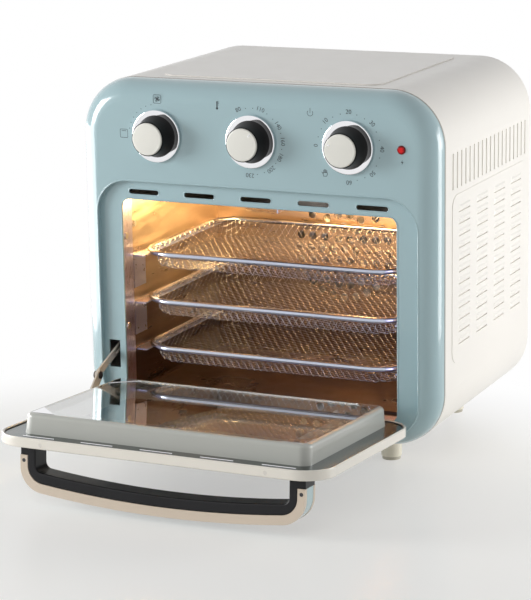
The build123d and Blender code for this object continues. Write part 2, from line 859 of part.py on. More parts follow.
# Door shell: the outer tray with its window, drawn in the open pose
door_width = recess_width - 2 * door_gap
door_length = door_high - door_low
in_axis = Axis(hinge_point, in_dir)
ear_reach = hinge_lug_width / 2 + hinge_ear_gap + hinge_ear_width
notch_width = 2 * (ear_reach + hinge_notch_clear)
notch_low = 2 * door_low
notch_places = [(side * hinge_side, -(notch_low + hinge_notch_up) / 2) for side in sides.values()]
notch_length = hinge_notch_up - notch_low
outer_window_half = window_half_width - outer_window_inset
outer_window_low = window_low + outer_window_inset
outer_window_high = window_high - outer_window_inset

with BuildPart() as door_shell:
    with BuildSketch(door_layer(hinge_in_front)):
        with Locations(door_place(door_low, door_high)):
            RectangleRounded(door_width, door_length, door_corner)
    extrude(amount=door_thickness)
    fillet(door_shell.faces().sort_by(in_axis)[0].edges(), radius=door_edge_round)
    with BuildSketch(door_layer(hinge_in_front + door_skin)):
        with Locations(door_place(door_low, door_high)):
            RectangleRounded(
                door_width - 2 * door_edge_wall,
                door_length - 2 * door_edge_wall,
                door_corner - door_edge_wall,
            )
    extrude(amount=door_thickness, mode=Mode.SUBTRACT)
    with BuildSketch(door_layer(hinge_in_front)):
        with Locations(door_place(outer_window_low, outer_window_high)):
            RectangleRounded(2 * outer_window_half, outer_window_high - outer_window_low, window_corner)
        with Locations(*notch_places):
            Rectangle(notch_width, notch_length)
    extrude(amount=2 * door_thickness, both=True, mode=Mode.SUBTRACT)
    with BuildSketch(door_section(door_high)):
        for side in sides.values():
            with Locations((side * door_screw_side, hinge_in_front + door_thickness / 2)):
                Circle(screw_radius + screw_gap)
    extrude(amount=-screw_depth, mode=Mode.SUBTRACT)
door_shell.part.label = "door_shell"
export_step(door_shell.part, "parts/door_shell.step")

with BuildPart() as door_screws:
    with BuildSketch(door_section(door_high - screw_depth)):
        for side in sides.values():
            with Locations((side * door_screw_side, hinge_in_front + door_thickness / 2)):
                Circle(screw_radius)
    extrude(amount=screw_depth - screw_gap)
door_screws.part.label = "door_screws"
export_step(door_screws.part, "parts/door_screws.step")

# Door liner, the sheet seen round the raised frame
liner_top_in = door_in_face - liner_set_back
liner_margin = door_edge_wall + liner_gap
liner_high = door_high - liner_margin
liner_low = door_low + liner_margin
window_length = window_high - window_low

with BuildPart() as door_liner:
    with BuildSketch(door_layer(liner_top_in - liner_sheet)):
        with Locations(door_place(liner_low, liner_high)):
            RectangleRounded(
                door_width - 2 * liner_margin,
                liner_high - liner_low,
                door_corner - liner_margin,
            )
        with Locations(door_place(window_low, window_high)):
            RectangleRounded(2 * window_half_width, window_length, window_corner, mode=Mode.SUBTRACT)
        with Locations(*notch_places):
            Rectangle(notch_width, notch_length, mode=Mode.SUBTRACT)
        with Locations((0, -(liner_high - liner_slot_margin))):
            with GridLocations(liner_slot_pitch, 0, liner_slot_count, 1):
                SlotOverall(liner_slot_length, liner_slot_height, mode=Mode.SUBTRACT)
    extrude(amount=liner_sheet)
door_liner.part.label = "door_liner"
export_step(door_liner.part, "parts/door_liner.step")

# Raised frame round the inner glass
block_top_in = door_in_face + block_rise
glass_seat_in = block_top_in - inner_glass_sheet - running_gap
inner_glass_half = window_half_width + inner_glass_side_lap
inner_glass_low = window_low - inner_glass_end_lap
inner_glass_high = window_high + inner_glass_end_lap

with BuildPart() as door_frame:
    with BuildSketch(door_layer(liner_top_in)):
        with Locations(door_place(block_low, block_high)):
            RectangleRounded(2 * block_half_width, block_high - block_low, block_corner)
    with BuildSketch(door_layer(block_top_in)):
        with Locations(door_place(block_low, block_high)):
            RectangleRounded(
                2 * block_top_half_width,
                block_high - block_low - 2 * block_end_taper,
                block_corner,
            )
    loft()
    fillet(door_frame.faces().sort_by(in_axis)[-1].edges(), radius=block_top_round)
    with BuildSketch(door_layer(liner_top_in)):
        with Locations(door_place(window_low, window_high)):
            RectangleRounded(2 * window_half_width, window_length, window_corner)
    extrude(amount=2 * block_rise, mode=Mode.SUBTRACT)
    with BuildSketch(door_layer(glass_seat_in)):
        with Locations(door_place(inner_glass_low, inner_glass_high)):
            RectangleRounded(2 * inner_glass_half, inner_glass_high - inner_glass_low, window_corner)
    extrude(amount=2 * inner_glass_sheet, mode=Mode.SUBTRACT)
door_frame.part.label = "door_frame"
export_step(door_frame.part, "parts/door_frame.step")

with BuildPart() as inner_glass:
    with BuildSketch(door_layer(glass_seat_in)):
        with Locations(door_place(inner_glass_low + liner_gap, inner_glass_high - liner_gap)):
            RectangleRounded(
                2 * (inner_glass_half - liner_gap),
                inner_glass_high - inner_glass_low - 2 * liner_gap,
                window_corner - liner_gap,
            )
    extrude(amount=inner_glass_sheet)
inner_glass.part.label = "inner_glass"
export_step(inner_glass.part, "parts/inner_glass.step")

outer_glass_low = window_low - outer_glass_lap
outer_glass_high = window_high + outer_glass_lap

with BuildPart() as outer_glass:
    with BuildSketch(door_layer(hinge_in_front + door_skin)):
        with Locations(door_place(outer_glass_low, outer_glass_high)):
            RectangleRounded(
                2 * (window_half_width + outer_glass_lap),
                outer_glass_high - outer_glass_low,
                window_corner,
            )
    extrude(amount=outer_glass_sheet)
outer_glass.part.label = "outer_glass"
export_step(outer_glass.part, "parts/outer_glass.step")

# Hinges: a lug on the panel between two ears on the door, with a pin through both
hinge_leaf_in = hinge_in_front + door_skin + running_gap
hinge_leaf_top = liner_top_in - liner_sheet - liner_gap
hinge_leaf_end = hinge_leaf_start + hinge_leaf_length
ear_side = (hinge_lug_width + hinge_ear_width) / 2 + hinge_ear_gap
ear_clear_up = hinge_notch_up - running_gap

leaf_mid_up = (hinge_leaf_start + hinge_leaf_end) / 2
leaf_mid_in = (hinge_leaf_in + hinge_leaf_top) / 2
hinge_places = [side * hinge_side for side in sides.values()]

with BuildPart() as hinge_brackets:
    for hinge_x in hinge_places:
        with BuildSketch(profile_plane(hinge_x)):
            with Locations((hinge_y, hinge_z)):
                Circle(hinge_lug_radius)
            with Locations(((hinge_y + recess_floor_y) / 2, hinge_z)):
                Rectangle(recess_floor_y - hinge_y, 2 * hinge_lug_radius)
            with Locations((hinge_y, hinge_z)):
                Circle(hinge_pin_radius + running_gap, mode=Mode.SUBTRACT)
        extrude(amount=hinge_lug_width / 2, both=True)
hinge_brackets.part.label = "hinge_brackets"
export_step(hinge_brackets.part, "parts/hinge_brackets.step")

with BuildPart() as hinge_leaves:
    for hinge_x in hinge_places:
        for ear_x in (hinge_x - ear_side, hinge_x + ear_side):
            with BuildSketch(door_profile(ear_x)):
                Circle(hinge_lug_radius)
                Polygon(
                    (0, hinge_lug_radius),
                    (hinge_leaf_start, hinge_leaf_top),
                    (hinge_leaf_end, hinge_leaf_top),
                    (hinge_leaf_end, hinge_leaf_in),
                    (ear_clear_up, hinge_leaf_in),
                    (hinge_lug_radius, 0),
                    align=None,
                )
                Circle(hinge_pin_radius, mode=Mode.SUBTRACT)
            extrude(amount=hinge_ear_width / 2, both=True)
        with BuildSketch(door_profile(hinge_x)):
            with Locations((leaf_mid_up, leaf_mid_in)):
                Rectangle(hinge_leaf_length, hinge_leaf_top - hinge_leaf_in)
        extrude(amount=ear_reach, both=True)
hinge_leaves.part.label = "hinge_leaves"
export_step(hinge_leaves.part, "parts/hinge_leaves.step")

with BuildPart() as hinge_pins:
    for hinge_x in hinge_places:
        with BuildSketch(profile_plane(hinge_x)):
            with Locations((hinge_y, hinge_z)):
                Circle(hinge_pin_radius)
        extrude(amount=ear_reach, both=True)
hinge_pins.part.label = "hinge_pins"
export_step(hinge_pins.part, "parts/hinge_pins.step")

# Stay: a strap on the door, an arm that runs through the panel's slot, and their pin
strap_side = stay_side - stay_sheet - stay_gap
tab_side = strap_side + stay_sheet / 2 - stay_tab_width / 2
root_to_pivot = Vector(stay_pivot_up - stay_root_up, stay_pivot_in - liner_top_in)
strap_lean = root_to_pivot.normalized()
strap_edge = Vector(strap_lean.Y, -strap_lean.X) * stay_pivot_round
pivot_place = (stay_pivot_up, stay_pivot_in)
pivot_point = hinge_point + up_dir * stay_pivot_up + in_dir * stay_pivot_in
arm_angle = math.radians(stay_arm_angle)
arm_dir = Vector(0, math.cos(arm_angle), math.sin(arm_angle))
arm_origin = Vector(-stay_side, pivot_point.Y, pivot_point.Z)

pin_inner = strap_side - stay_sheet / 2 - stay_head_sheet
pin_outer = stay_side + stay_sheet / 2 + stay_head_gap + stay_head_sheet

with BuildPart() as stay_strap:
    with BuildSketch(door_profile(-strap_side)):
        with Locations(pivot_place):
            Circle(stay_pivot_round)
        Polygon(
            (stay_root_up - stay_root_width / 2, liner_top_in),
            (stay_root_up + stay_root_width / 2, liner_top_in),
            (stay_pivot_up + strap_edge.X, stay_pivot_in + strap_edge.Y),
            (stay_pivot_up - strap_edge.X, stay_pivot_in - strap_edge.Y),
            align=None,
        )
        with Locations(pivot_place):
            Circle(stay_pin_radius, mode=Mode.SUBTRACT)
    extrude(amount=stay_sheet / 2, both=True)
    with BuildSketch(door_layer(liner_top_in)):
        with Locations((-tab_side, -stay_root_up)):
            Rectangle(stay_tab_width, stay_root_width)
    extrude(amount=stay_tab_sheet)
stay_strap.part.label = "stay_strap"
export_step(stay_strap.part, "parts/stay_strap.step")

with BuildPart() as stay_arm:
    with BuildSketch(Plane(origin=arm_origin, x_dir=arm_dir, z_dir=(1, 0, 0))):
        with Locations((stay_arm_length / 2, 0)):
            SlotCenterToCenter(stay_arm_length, stay_arm_width)
        Circle(stay_pin_radius + running_gap, mode=Mode.SUBTRACT)
        with Locations((stay_arm_length - stay_guide_length / 2, 0)):
            SlotOverall(stay_guide_length, stay_guide_width, mode=Mode.SUBTRACT)
    extrude(amount=stay_sheet / 2, both=True)
stay_arm.part.label = "stay_arm"
export_step(stay_arm.part, "parts/stay_arm.step")

with BuildPart() as stay_pin:
    with BuildSketch(door_profile(-pin_inner)):
        with Locations(pivot_place):
            Circle(stay_head_radius)
    extrude(amount=stay_head_sheet)
    with BuildSketch(door_profile(-pin_inner)):
        with Locations(pivot_place):
            Circle(stay_pin_radius)
    extrude(amount=pin_outer - pin_inner)
    with BuildSketch(door_profile(stay_head_sheet - pin_outer)):
        with Locations(pivot_place):
            Circle(stay_head_radius)
    extrude(amount=stay_head_sheet)
stay_pin.part.label = "stay_pin"
export_step(stay_pin.part, "parts/stay_pin.step")

# Handle: a black grip on two posts, a cover round its outside and a strip let into the cover.
# Its bar bows away from the door towards the middle.
handle_high = door_high - handle_below_top
handle_low = handle_high - handle_depth
handle_middle_in = hinge_in_front - handle_reach
door_up_axis = Axis(hinge_point, up_dir)
cover_top_in = hinge_in_front - cover_start
loop_top_in = hinge_in_front + handle_reach
cover_side = handle_half_width - cover_post_thickness / 2
inlay_low = handle_low + (handle_depth - inlay_depth) / 2


def handle_loop(bar_inset, post_inset, corner):
    """Closed face whose lower part is the handle's contour, set inwards at the bar and at the posts."""
    loop_side = handle_half_width - post_inset
    loop_middle = handle_middle_in + bar_inset
    loop_end = loop_middle + handle_bow * (loop_side / handle_half_width) ** 2
    with BuildSketch() as loop:
        with BuildLine():
            Polyline(
                (-loop_side, loop_end),
                (-loop_side, loop_top_in),
                (loop_side, loop_top_in),
                (loop_side, loop_end),
            )
            ThreePointArc((loop_side, loop_end), (0, loop_middle), (-loop_side, loop_end))
        make_face()
        fillet(loop.vertices().group_by(Axis.Y)[0], radius=corner)
    return loop.sketch


def trim_above(depth_in):
    """Take away what lies beyond a depth on a section of the door."""
    with Locations((0, depth_in + handle_reach)):
        Rectangle(3 * handle_half_width, 2 * handle_reach, mode=Mode.SUBTRACT)


finger_bar_inset = cover_thickness + grip_thickness
finger_post_inset = cover_post_thickness + grip_post_thickness
outer_loop = handle_loop(0, 0, handle_corner)
inlay_loop = handle_loop(inlay_groove - inlay_sheet, inlay_groove - inlay_sheet, handle_corner)
groove_loop = handle_loop(inlay_groove, inlay_groove, handle_corner - inlay_groove)
grip_loop = handle_loop(cover_thickness, cover_post_thickness, handle_corner - cover_post_thickness)
finger_loop = handle_loop(finger_bar_inset, finger_post_inset, grip_corner)

with BuildPart() as handle_grip:
    with BuildSketch(door_section(handle_low)):
        add(grip_loop)
        for side in sides.values():
            with Locations((side * cover_side, hinge_in_front - cover_start / 2)):
                Rectangle(cover_post_thickness, cover_start)
        add(finger_loop, mode=Mode.SUBTRACT)
        trim_above(hinge_in_front)
    extrude(amount=handle_depth)
    grip_faces = handle_grip.faces().sort_by(door_up_axis)
    fillet(grip_faces[0].edges() + grip_faces[-1].edges(), radius=handle_edge_round)
handle_grip.part.label = "handle_grip"
export_step(handle_grip.part, "parts/handle_grip.step")

screw_in = cover_top_in - handle_screw_drop

with BuildPart() as handle_cover:
    with BuildSketch(door_section(handle_low)):
        add(outer_loop)
        add(grip_loop, mode=Mode.SUBTRACT)
        trim_above(cover_top_in)
    extrude(amount=handle_depth)
    with BuildSketch(door_section(inlay_low)):
        add(outer_loop)
        add(groove_loop, mode=Mode.SUBTRACT)
        trim_above(cover_top_in)
    extrude(amount=inlay_depth, mode=Mode.SUBTRACT)
    with BuildSketch(door_section(handle_high)):
        with Locations((-cover_side, screw_in), (cover_side, screw_in)):
            Circle(screw_radius + screw_gap)
    extrude(amount=-screw_depth, mode=Mode.SUBTRACT)
handle_cover.part.label = "handle_cover"
export_step(handle_cover.part, "parts/handle_cover.step")

with BuildPart() as handle_inlay:
    with BuildSketch(door_section(inlay_low)):
        add(inlay_loop)
        add(groove_loop, mode=Mode.SUBTRACT)
        trim_above(cover_top_in)
    extrude(amount=inlay_depth)
handle_inlay.part.label = "handle_inlay"
export_step(handle_inlay.part, "parts/handle_inlay.step")

with BuildPart() as handle_screws:
    with BuildSketch(door_section(handle_high - screw_depth)):
        with Locations((-cover_side, screw_in), (cover_side, screw_in)):
            Circle(screw_radius)
    extrude(amount=screw_depth - screw_gap)
handle_screws.part.label = "handle_screws"
export_step(handle_screws.part, "parts/handle_screws.step")

# Knobs: a flared skirt on a shaft and a cap each, and the control behind each
knob_places = {"function": -knob_pitch, "temperature": 0.0, "timer": knob_pitch}
control_names = {"function": "function_switch", "temperature": "thermostat", "timer": "timer"}
control_front_y = face_y + panel_wall
knob_seat_y = face_y - knob_cap_seat
knob_shaft_end_y = knob_seat_y + knob_shaft_length
skirt_profile = [
    (knob_gap, 0),
    (knob_gap, knob_skirt_radius),
    (knob_gap + knob_skirt_flat, knob_skirt_radius),
    (knob_gap + knob_skirt_flat, knob_cone_radius),
    (knob_front, knob_front_radius),
    (knob_front, knob_cap_radius + running_gap),
    (knob_cap_seat, knob_cap_radius + running_gap),
    (knob_cap_seat, 0),
]

for control_name, knob_x in knob_places.items():
    knob_axis = Axis((knob_x, 0, knob_height), (0, 1, 0))
    with BuildPart() as knob_skirt:
        with BuildSketch(profile_plane(knob_x)):
            skirt_points = [(face_y - out, knob_height + radius) for out, radius in skirt_profile]
            Polygon(*skirt_points, align=None)
        revolve(axis=knob_axis)
        with BuildSketch(front_plane(knob_shaft_end_y)):
            with Locations((knob_x, knob_height)):
                Circle(knob_shaft_radius)
        extrude(amount=knob_shaft_length)
    knob_skirt.part.label = f"{control_name}_knob_skirt"
    export_step(knob_skirt.part, f"parts/{control_name}_knob_skirt.step")

    with BuildPart() as knob_cap:
        with BuildSketch(front_plane(knob_seat_y)):
            with Locations((knob_x, knob_height)):
                Circle(knob_cap_radius)
        extrude(amount=knob_cap_front - knob_cap_seat)
        fillet(knob_cap.edges().sort_by(Axis.Y)[0], radius=knob_cap_round)
    knob_cap.part.label = f"{control_name}_knob_cap"
    export_step(knob_cap.part, f"parts/{control_name}_knob_cap.step")

    with BuildPart() as control:
        with BuildSketch(front_plane(control_front_y + control_depth)):
            with Locations((knob_x, knob_height)):
                Rectangle(control_side, control_side)
        extrude(amount=control_depth)
        with BuildSketch(front_plane(control_front_y)):
            with Locations((knob_x, knob_height)):
                Circle(bushing_radius)
        extrude(amount=panel_wall)
        with BuildSketch(front_plane(control_front_y + control_depth)):
            with Locations((knob_x, knob_height)):
                Circle(knob_shaft_radius + running_gap)
        extrude(amount=control_depth + panel_wall, mode=Mode.SUBTRACT)
    control.part.label = control_names[control_name]
    export_step(control.part, f"parts/{control_names[control_name]}.step")

# Indicator lamp
with BuildPart() as indicator_lens:
    with BuildSketch(front_plane(face_y)):
        with Locations((lamp_side, lamp_height)):
            Circle(lamp_radius)
    extrude(amount=lamp_bulge)
    fillet(indicator_lens.edges().sort_by(Axis.Y)[0], radius=lamp_round)
    with BuildSketch(front_plane(face_y)):
        with Locations((lamp_side, lamp_height)):
            Circle(lamp_barrel_radius)
    extrude(amount=-lamp_barrel_length)
indicator_lens.part.label = "indicator_lens"
export_step(indicator_lens.part, "parts/indicator_lens.step")
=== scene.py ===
"""Air fryer oven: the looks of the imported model, its lights and its camera.

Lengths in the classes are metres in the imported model's own frame: X to the right of someone
facing the front, Y to the back, Z up, with the ground at zero.
"""

import json
import logging
import math
from dataclasses import dataclass, field
from enum import Enum
from functools import cache
from typing import Iterable, Sequence

import bmesh
import bpy
from mathutils import Matrix, Vector


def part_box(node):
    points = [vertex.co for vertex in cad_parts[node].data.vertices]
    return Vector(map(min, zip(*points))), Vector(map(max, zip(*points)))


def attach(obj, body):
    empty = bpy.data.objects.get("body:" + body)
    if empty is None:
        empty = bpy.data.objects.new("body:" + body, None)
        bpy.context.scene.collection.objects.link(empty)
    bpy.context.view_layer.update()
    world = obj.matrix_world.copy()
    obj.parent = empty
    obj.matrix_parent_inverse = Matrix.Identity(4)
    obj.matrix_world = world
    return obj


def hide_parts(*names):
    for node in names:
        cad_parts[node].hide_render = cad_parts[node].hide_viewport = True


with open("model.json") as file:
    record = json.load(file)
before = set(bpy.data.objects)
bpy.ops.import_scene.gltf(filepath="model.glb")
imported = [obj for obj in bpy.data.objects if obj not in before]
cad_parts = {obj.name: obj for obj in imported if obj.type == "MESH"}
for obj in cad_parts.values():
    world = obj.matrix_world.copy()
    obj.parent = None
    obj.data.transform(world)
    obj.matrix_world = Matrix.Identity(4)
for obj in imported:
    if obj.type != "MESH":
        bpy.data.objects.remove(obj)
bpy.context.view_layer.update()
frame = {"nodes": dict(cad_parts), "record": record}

LOG = logging.getLogger("air_fryer_oven")

Colour = tuple[float, float, float]
Point = tuple[float, float, float]
Spot = tuple[float, float]

WHITE: Colour = (1.0, 1.0, 1.0)
EVEN: Point = (1.0, 1.0, 1.0)
SCREEN_GAMMA = 2.2
SHARP_DEG = 40.0
BEAD_ROUNDNESS = 2
NARROW: Spot = (0.3, 0.7)
WIDE: Spot = (0.25, 0.75)


class Signal:
    """A shader value that takes part in Python arithmetic."""

    def __init__(self, graph: "Graph", socket: bpy.types.NodeSocket) -> None:
        """Wraps one output socket.

        Args:
            graph: the material's graph that new nodes go into.
            socket: the output that carries the value.
        """
        self.graph = graph
        self.socket = socket

    def _maths(self, operation: str, first: "Signal | float", second: "Signal | float") -> "Signal":
        """The value of one Math node on two operands."""
        return self.graph.node("ShaderNodeMath", {"operation": operation}, {0: first, 1: second})

    def __add__(self, other: "Signal | float") -> "Signal":
        """Sum."""
        return self._maths("ADD", self, other)

    def __radd__(self, other: float) -> "Signal":
        """Sum with a number first."""
        return self._maths("ADD", other, self)

    def __sub__(self, other: "Signal | float") -> "Signal":
        """Difference."""
        return self._maths("SUBTRACT", self, other)

    def __rsub__(self, other: float) -> "Signal":
        """Difference with a number first."""
        return self._maths("SUBTRACT", other, self)

    def __mul__(self, other: "Signal | float") -> "Signal":
        """Product."""
        return self._maths("MULTIPLY", self, other)

    def __rmul__(self, other: float) -> "Signal":
        """Product with a number first."""
        return self._maths("MULTIPLY", other, self)


class Graph:
    """The node graph of a material or of the surround, with the calls that dress it."""

    def __init__(self, owner: bpy.types.Material | bpy.types.World) -> None:
        """Takes the shader and the output that a new graph starts with.

        Args:
            owner: the new material or world.
        """
        owner.use_nodes = True
        self.owner = owner
        self.tree = owner.node_tree
        self.surface = next(node for node in self.tree.nodes if "Surface" in node.inputs).inputs["Surface"]
        self.shader = self.surface.links[0].from_node

    def node(self, kind: str, settings: dict[str, object], inputs: dict[int | str, object],
             output: int | str = 0) -> Signal:
        """Adds a node of any kind.

        Args:
            kind: the node's type name.
            settings: its properties. "stops" gives a ramp's stops as (place, colour) pairs.
            inputs: what its sockets get, numbers, tuples or signals.
            output: the output that is used.

        Returns:
            That output.
        """
        added = self.tree.nodes.new(kind)
        for key, value in settings.items():
            if key == "stops":
                ramp = added.color_ramp
                while len(ramp.elements) < len(value):
                    ramp.elements.new(0.5)
                for element, (place, colour) in zip(ramp.elements, value):
                    element.position = place
                    element.color = (*colour, 1.0)
            else:
                setattr(added, key, value)
        for key, value in inputs.items():
            self.feed(added.inputs[key], value)
        return Signal(self, added.outputs[output])

    def feed(self, socket: bpy.types.NodeSocket, value: object) -> None:
        """Gives a socket a number, a tuple or a signal.

        Args:
            socket: the input.
            value: what goes in.
        """
        if isinstance(value, Signal):
            self.tree.links.new(value.socket, socket)
        elif isinstance(value, tuple) and len(value) == 3 and len(socket.default_value) == 4:
            socket.default_value = (*value, 1.0)
        else:
            socket.default_value = value

    def place(self, scale: Point = EVEN) -> Signal:
        """Object coordinates, multiplied by a scale along each axis."""
        coordinates = self.node("ShaderNodeTexCoord", {}, {}, "Object")
        return self.node("ShaderNodeVectorMath", {"operation": "MULTIPLY"}, {0: coordinates, 1: scale})

    def noise(self, size: float, detail: float = 3.0, scale: Point = EVEN) -> Signal:
        """Noise from 0 to 1: features a metre, octaves, and a scale of the coordinates."""
        return self.node("ShaderNodeTexNoise", {},
                         {"Vector": self.place(scale), "Scale": size, "Detail": detail}, "Fac")

    def between(self, value: Signal, low: float, high: float, to_low: float = 0.0,
                to_high: float = 1.0) -> Signal:
        """Maps low..high to to_low..to_high, smoothly and with both ends held."""
        return self.node("ShaderNodeMapRange", {"interpolation_type": "SMOOTHSTEP"},
                         {0: value, 1: low, 2: high, 3: to_low, 4: to_high})

    def vary(self, amount: float, noise: Signal, span: Spot, factors: Spot) -> Signal:
        """An amount that goes from its first factor to its second as a noise goes through a span."""
        return self.between(noise, *span, amount * factors[0], amount * factors[1])

    def blend(self, first: Colour | Signal, second: Colour | Signal, share: Signal | float) -> Signal:
        """A mix of two colours, all first at share 0 and all second at share 1."""
        return self.node("ShaderNodeMix", {"data_type": "RGBA"}, {0: share, 6: first, 7: second}, 2)

    def bump(self, height: Signal, depth: float, strength: float) -> Signal:
        """A normal bumped by a share of a relief, whose height 1 stands for a depth in metres."""
        return self.node("ShaderNodeBump", {}, {"Strength": strength, "Distance": depth, "Height": height})

    def seen_rays(self) -> Signal:
        """A mask of the rays that show the background: seen straight, in a mirror or through glass.

        Returns:
            1 for such a ray, else 0.
        """
        camera, glossy, through = (self.node("ShaderNodeLightPath", {}, {}, f"Is {kind} Ray")
                                   for kind in ("Camera", "Glossy", "Transmission"))
        return self.node("ShaderNodeMath", {"operation": "MINIMUM"}, {0: camera + glossy + through, 1: 1.0})

    def overlay(self, cover: Signal, share: Signal) -> None:
        """Shows another shader over the graph's own one.

        Args:
            cover: the other shader.
            share: how much it covers.
        """
        own = Signal(self, self.shader.outputs[0])
        self.feed(self.surface, self.node("ShaderNodeMixShader", {}, {0: share, 1: own, 2: cover}))

    def dress(self, **sockets: object) -> bpy.types.Material | bpy.types.World:
        """Sets the sockets of the shader.

        Args:
            sockets: socket names with spaces written as underscores, and what they get.

        Returns:
            The material or world.
        """
        for name, value in sockets.items():
            self.feed(self.shader.inputs[name.replace("_", " ")], value)
        return self.owner


def tinted(colour: Colour, factor: float = 1.0) -> Colour:
    """The light of a colour on a screen, times a factor."""
    return tuple(min(1.0, factor * part ** SCREEN_GAMMA) for part in colour)


@dataclass(frozen=True)
class Enamel:
    """Sprayed and baked paint: faint mottling, and a fine orange-peel relief."""

    name: str
    colour: Colour
    roughness: float = 0.3
    coat: float = 0.6
    mottling: float = 0.012
    cloud_size: float = 9.0
    haze_size: float = 60.0
    haze: Spot = (0.92, 1.08)
    peel: float = 0.00001
    peel_size: float = 900.0
    peel_share: float = 0.4
    coat_roughness: float = 0.05

    def material(self) -> bpy.types.Material:
        """Builds the material.

        Returns:
            The material.
        """
        graph = Graph(bpy.data.materials.new(self.name))
        clouds = graph.between(graph.noise(self.cloud_size, 2.0), *NARROW)
        light = tinted(self.colour, 1.0 + self.mottling)
        colour = graph.blend(tinted(self.colour, 1.0 - self.mottling), light, clouds)
        roughness = graph.vary(self.roughness, graph.noise(self.haze_size), NARROW, self.haze)
        relief = graph.bump(graph.noise(self.peel_size, 1.0), self.peel, self.peel_share)
        return graph.dress(Base_Color=colour, Roughness=roughness, Normal=relief, Coat_Weight=self.coat,
                           Coat_Roughness=self.coat_roughness)


@dataclass(frozen=True)
class Steel:
    """Sheet or wire steel with a drawn grain, soft stains and a heat tint."""

    name: str
    colour: Colour
    roughness: float = 0.3
    grain: Point = (20.0, 1.0, 20.0)
    tint: Colour = (0.60, 0.50, 0.40)
    tint_share: float = 0.15
    relief_depth: float = 0.000004
    relief_share: float = 0.3
    streak_size: float = 120.0
    stain_size: float = 14.0
    stained: Spot = (0.42, 0.8)
    polish: Spot = (0.85, 1.2)

    def material(self) -> bpy.types.Material:
        """Builds the material.

        Returns:
            The material.
        """
        graph = Graph(bpy.data.materials.new(self.name))
        streaks = graph.noise(self.streak_size, 3.0, self.grain)
        stains = graph.between(graph.noise(self.stain_size, 4.0), *self.stained, 0.0, self.tint_share)
        colour = graph.blend(tinted(self.colour), tinted(self.tint), stains)
        roughness = graph.vary(self.roughness, streaks, WIDE, self.polish)
        relief = graph.bump(streaks, self.relief_depth, self.relief_share)
        return graph.dress(Base_Color=colour, Roughness=roughness, Normal=relief, Metallic=1.0)


@dataclass(frozen=True)
class Plastic:
    """Moulded plastic with a fine grain and slight shade changes."""

    name: str
    colour: Colour
    roughness: float = 0.4
    coat: float = 0.0
    grain_depth: float = 0.00002
    shine: float = 0.5
    grain_size: float = 1600.0
    cloud_size: float = 26.0
    shade_change: float = 0.04
    haze: Spot = (0.9, 1.1)
    grain_share: float = 0.4
    coat_roughness: float = 0.08

    def material(self) -> bpy.types.Material:
        """Builds the material.

        Returns:
            The material.
        """
        graph = Graph(bpy.data.materials.new(self.name))
        clouds = graph.noise(self.cloud_size)
        light = tinted(self.colour, 1.0 + self.shade_change)
        colour = graph.blend(tinted(self.colour, 1.0 - self.shade_change), light, clouds)
        roughness = graph.vary(self.roughness, clouds, NARROW, self.haze)
        relief = graph.bump(graph.noise(self.grain_size, 2.0), self.grain_depth, self.grain_share)
        return graph.dress(Base_Color=colour, Roughness=roughness, Normal=relief, Coat_Weight=self.coat,
                           Coat_Roughness=self.coat_roughness, Specular_IOR_Level=self.shine)


@dataclass(frozen=True)
class BakedSteel:
    """The cavity's sheet: warm bright steel that grows browner and darker towards the bottom."""

    name: str
    clean: Colour
    baked: Colour
    roughness: float = 0.34
    baked_below: float = 0.06
    clean_above: float = 0.22
    least_baked: float = 0.15
    waver: float = 0.08
    cloud_size: float = 11.0
    smear_size: float = 26.0
    smear_scale: Point = (1.0, 1.0, 6.0)
    polish: Spot = (0.75, 1.3)
    dent_depth: float = 0.0004
    dent_share: float = 0.25
    metallic: float = 0.85

    def material(self) -> bpy.types.Material:
        """Builds the material.

        Returns:
            The material.
        """
        graph = Graph(bpy.data.materials.new(self.name))
        height = graph.node("ShaderNodeSeparateXYZ", {}, {0: graph.place()}, "Z")
        clouds = graph.noise(self.cloud_size, 4.0)
        # the colour goes by height alone: darker and browner towards the bottom
        low_down = graph.between(height + (clouds - 0.5) * self.waver, self.baked_below, self.clean_above,
                                 1.0, self.least_baked)
        colour = graph.blend(tinted(self.clean), tinted(self.baked), low_down)
        smears = graph.noise(self.smear_size, 3.0, self.smear_scale)
        roughness = graph.vary(self.roughness, smears, WIDE, self.polish)
        relief = graph.bump(clouds, self.dent_depth, self.dent_share)
        return graph.dress(Base_Color=colour, Roughness=roughness, Normal=relief, Metallic=self.metallic)


@dataclass(frozen=True)
class ClearGlass:
    """Tempered glass with a thin heat-reflecting coat, or none, and faint wipe marks in its polish."""

    name: str
    colour: Colour = (0.97, 0.985, 0.98)
    roughness: float = 0.01
    heat_coat: float = 1.0
    wiped: float = 0.03
    wipe_size: float = 30.0
    wipe_scale: Point = (1.0, 0.25, 1.0)
    wipe_span: Spot = (0.5, 0.85)
    glass_index: float = 1.5
    coat_index: float = 1.8

    def material(self) -> bpy.types.Material:
        """Builds the material.

        Returns:
            The material.
        """
        graph = Graph(bpy.data.materials.new(self.name))
        wipes = graph.between(graph.noise(self.wipe_size, 4.0, self.wipe_scale), *self.wipe_span,
                              self.roughness, self.roughness + self.wiped)
        return graph.dress(Base_Color=tinted(self.colour), Roughness=wipes, Transmission_Weight=1.0,
                           IOR=self.glass_index, Coat_Weight=self.heat_coat, Coat_IOR=self.coat_index,
                           Coat_Roughness=0.0)


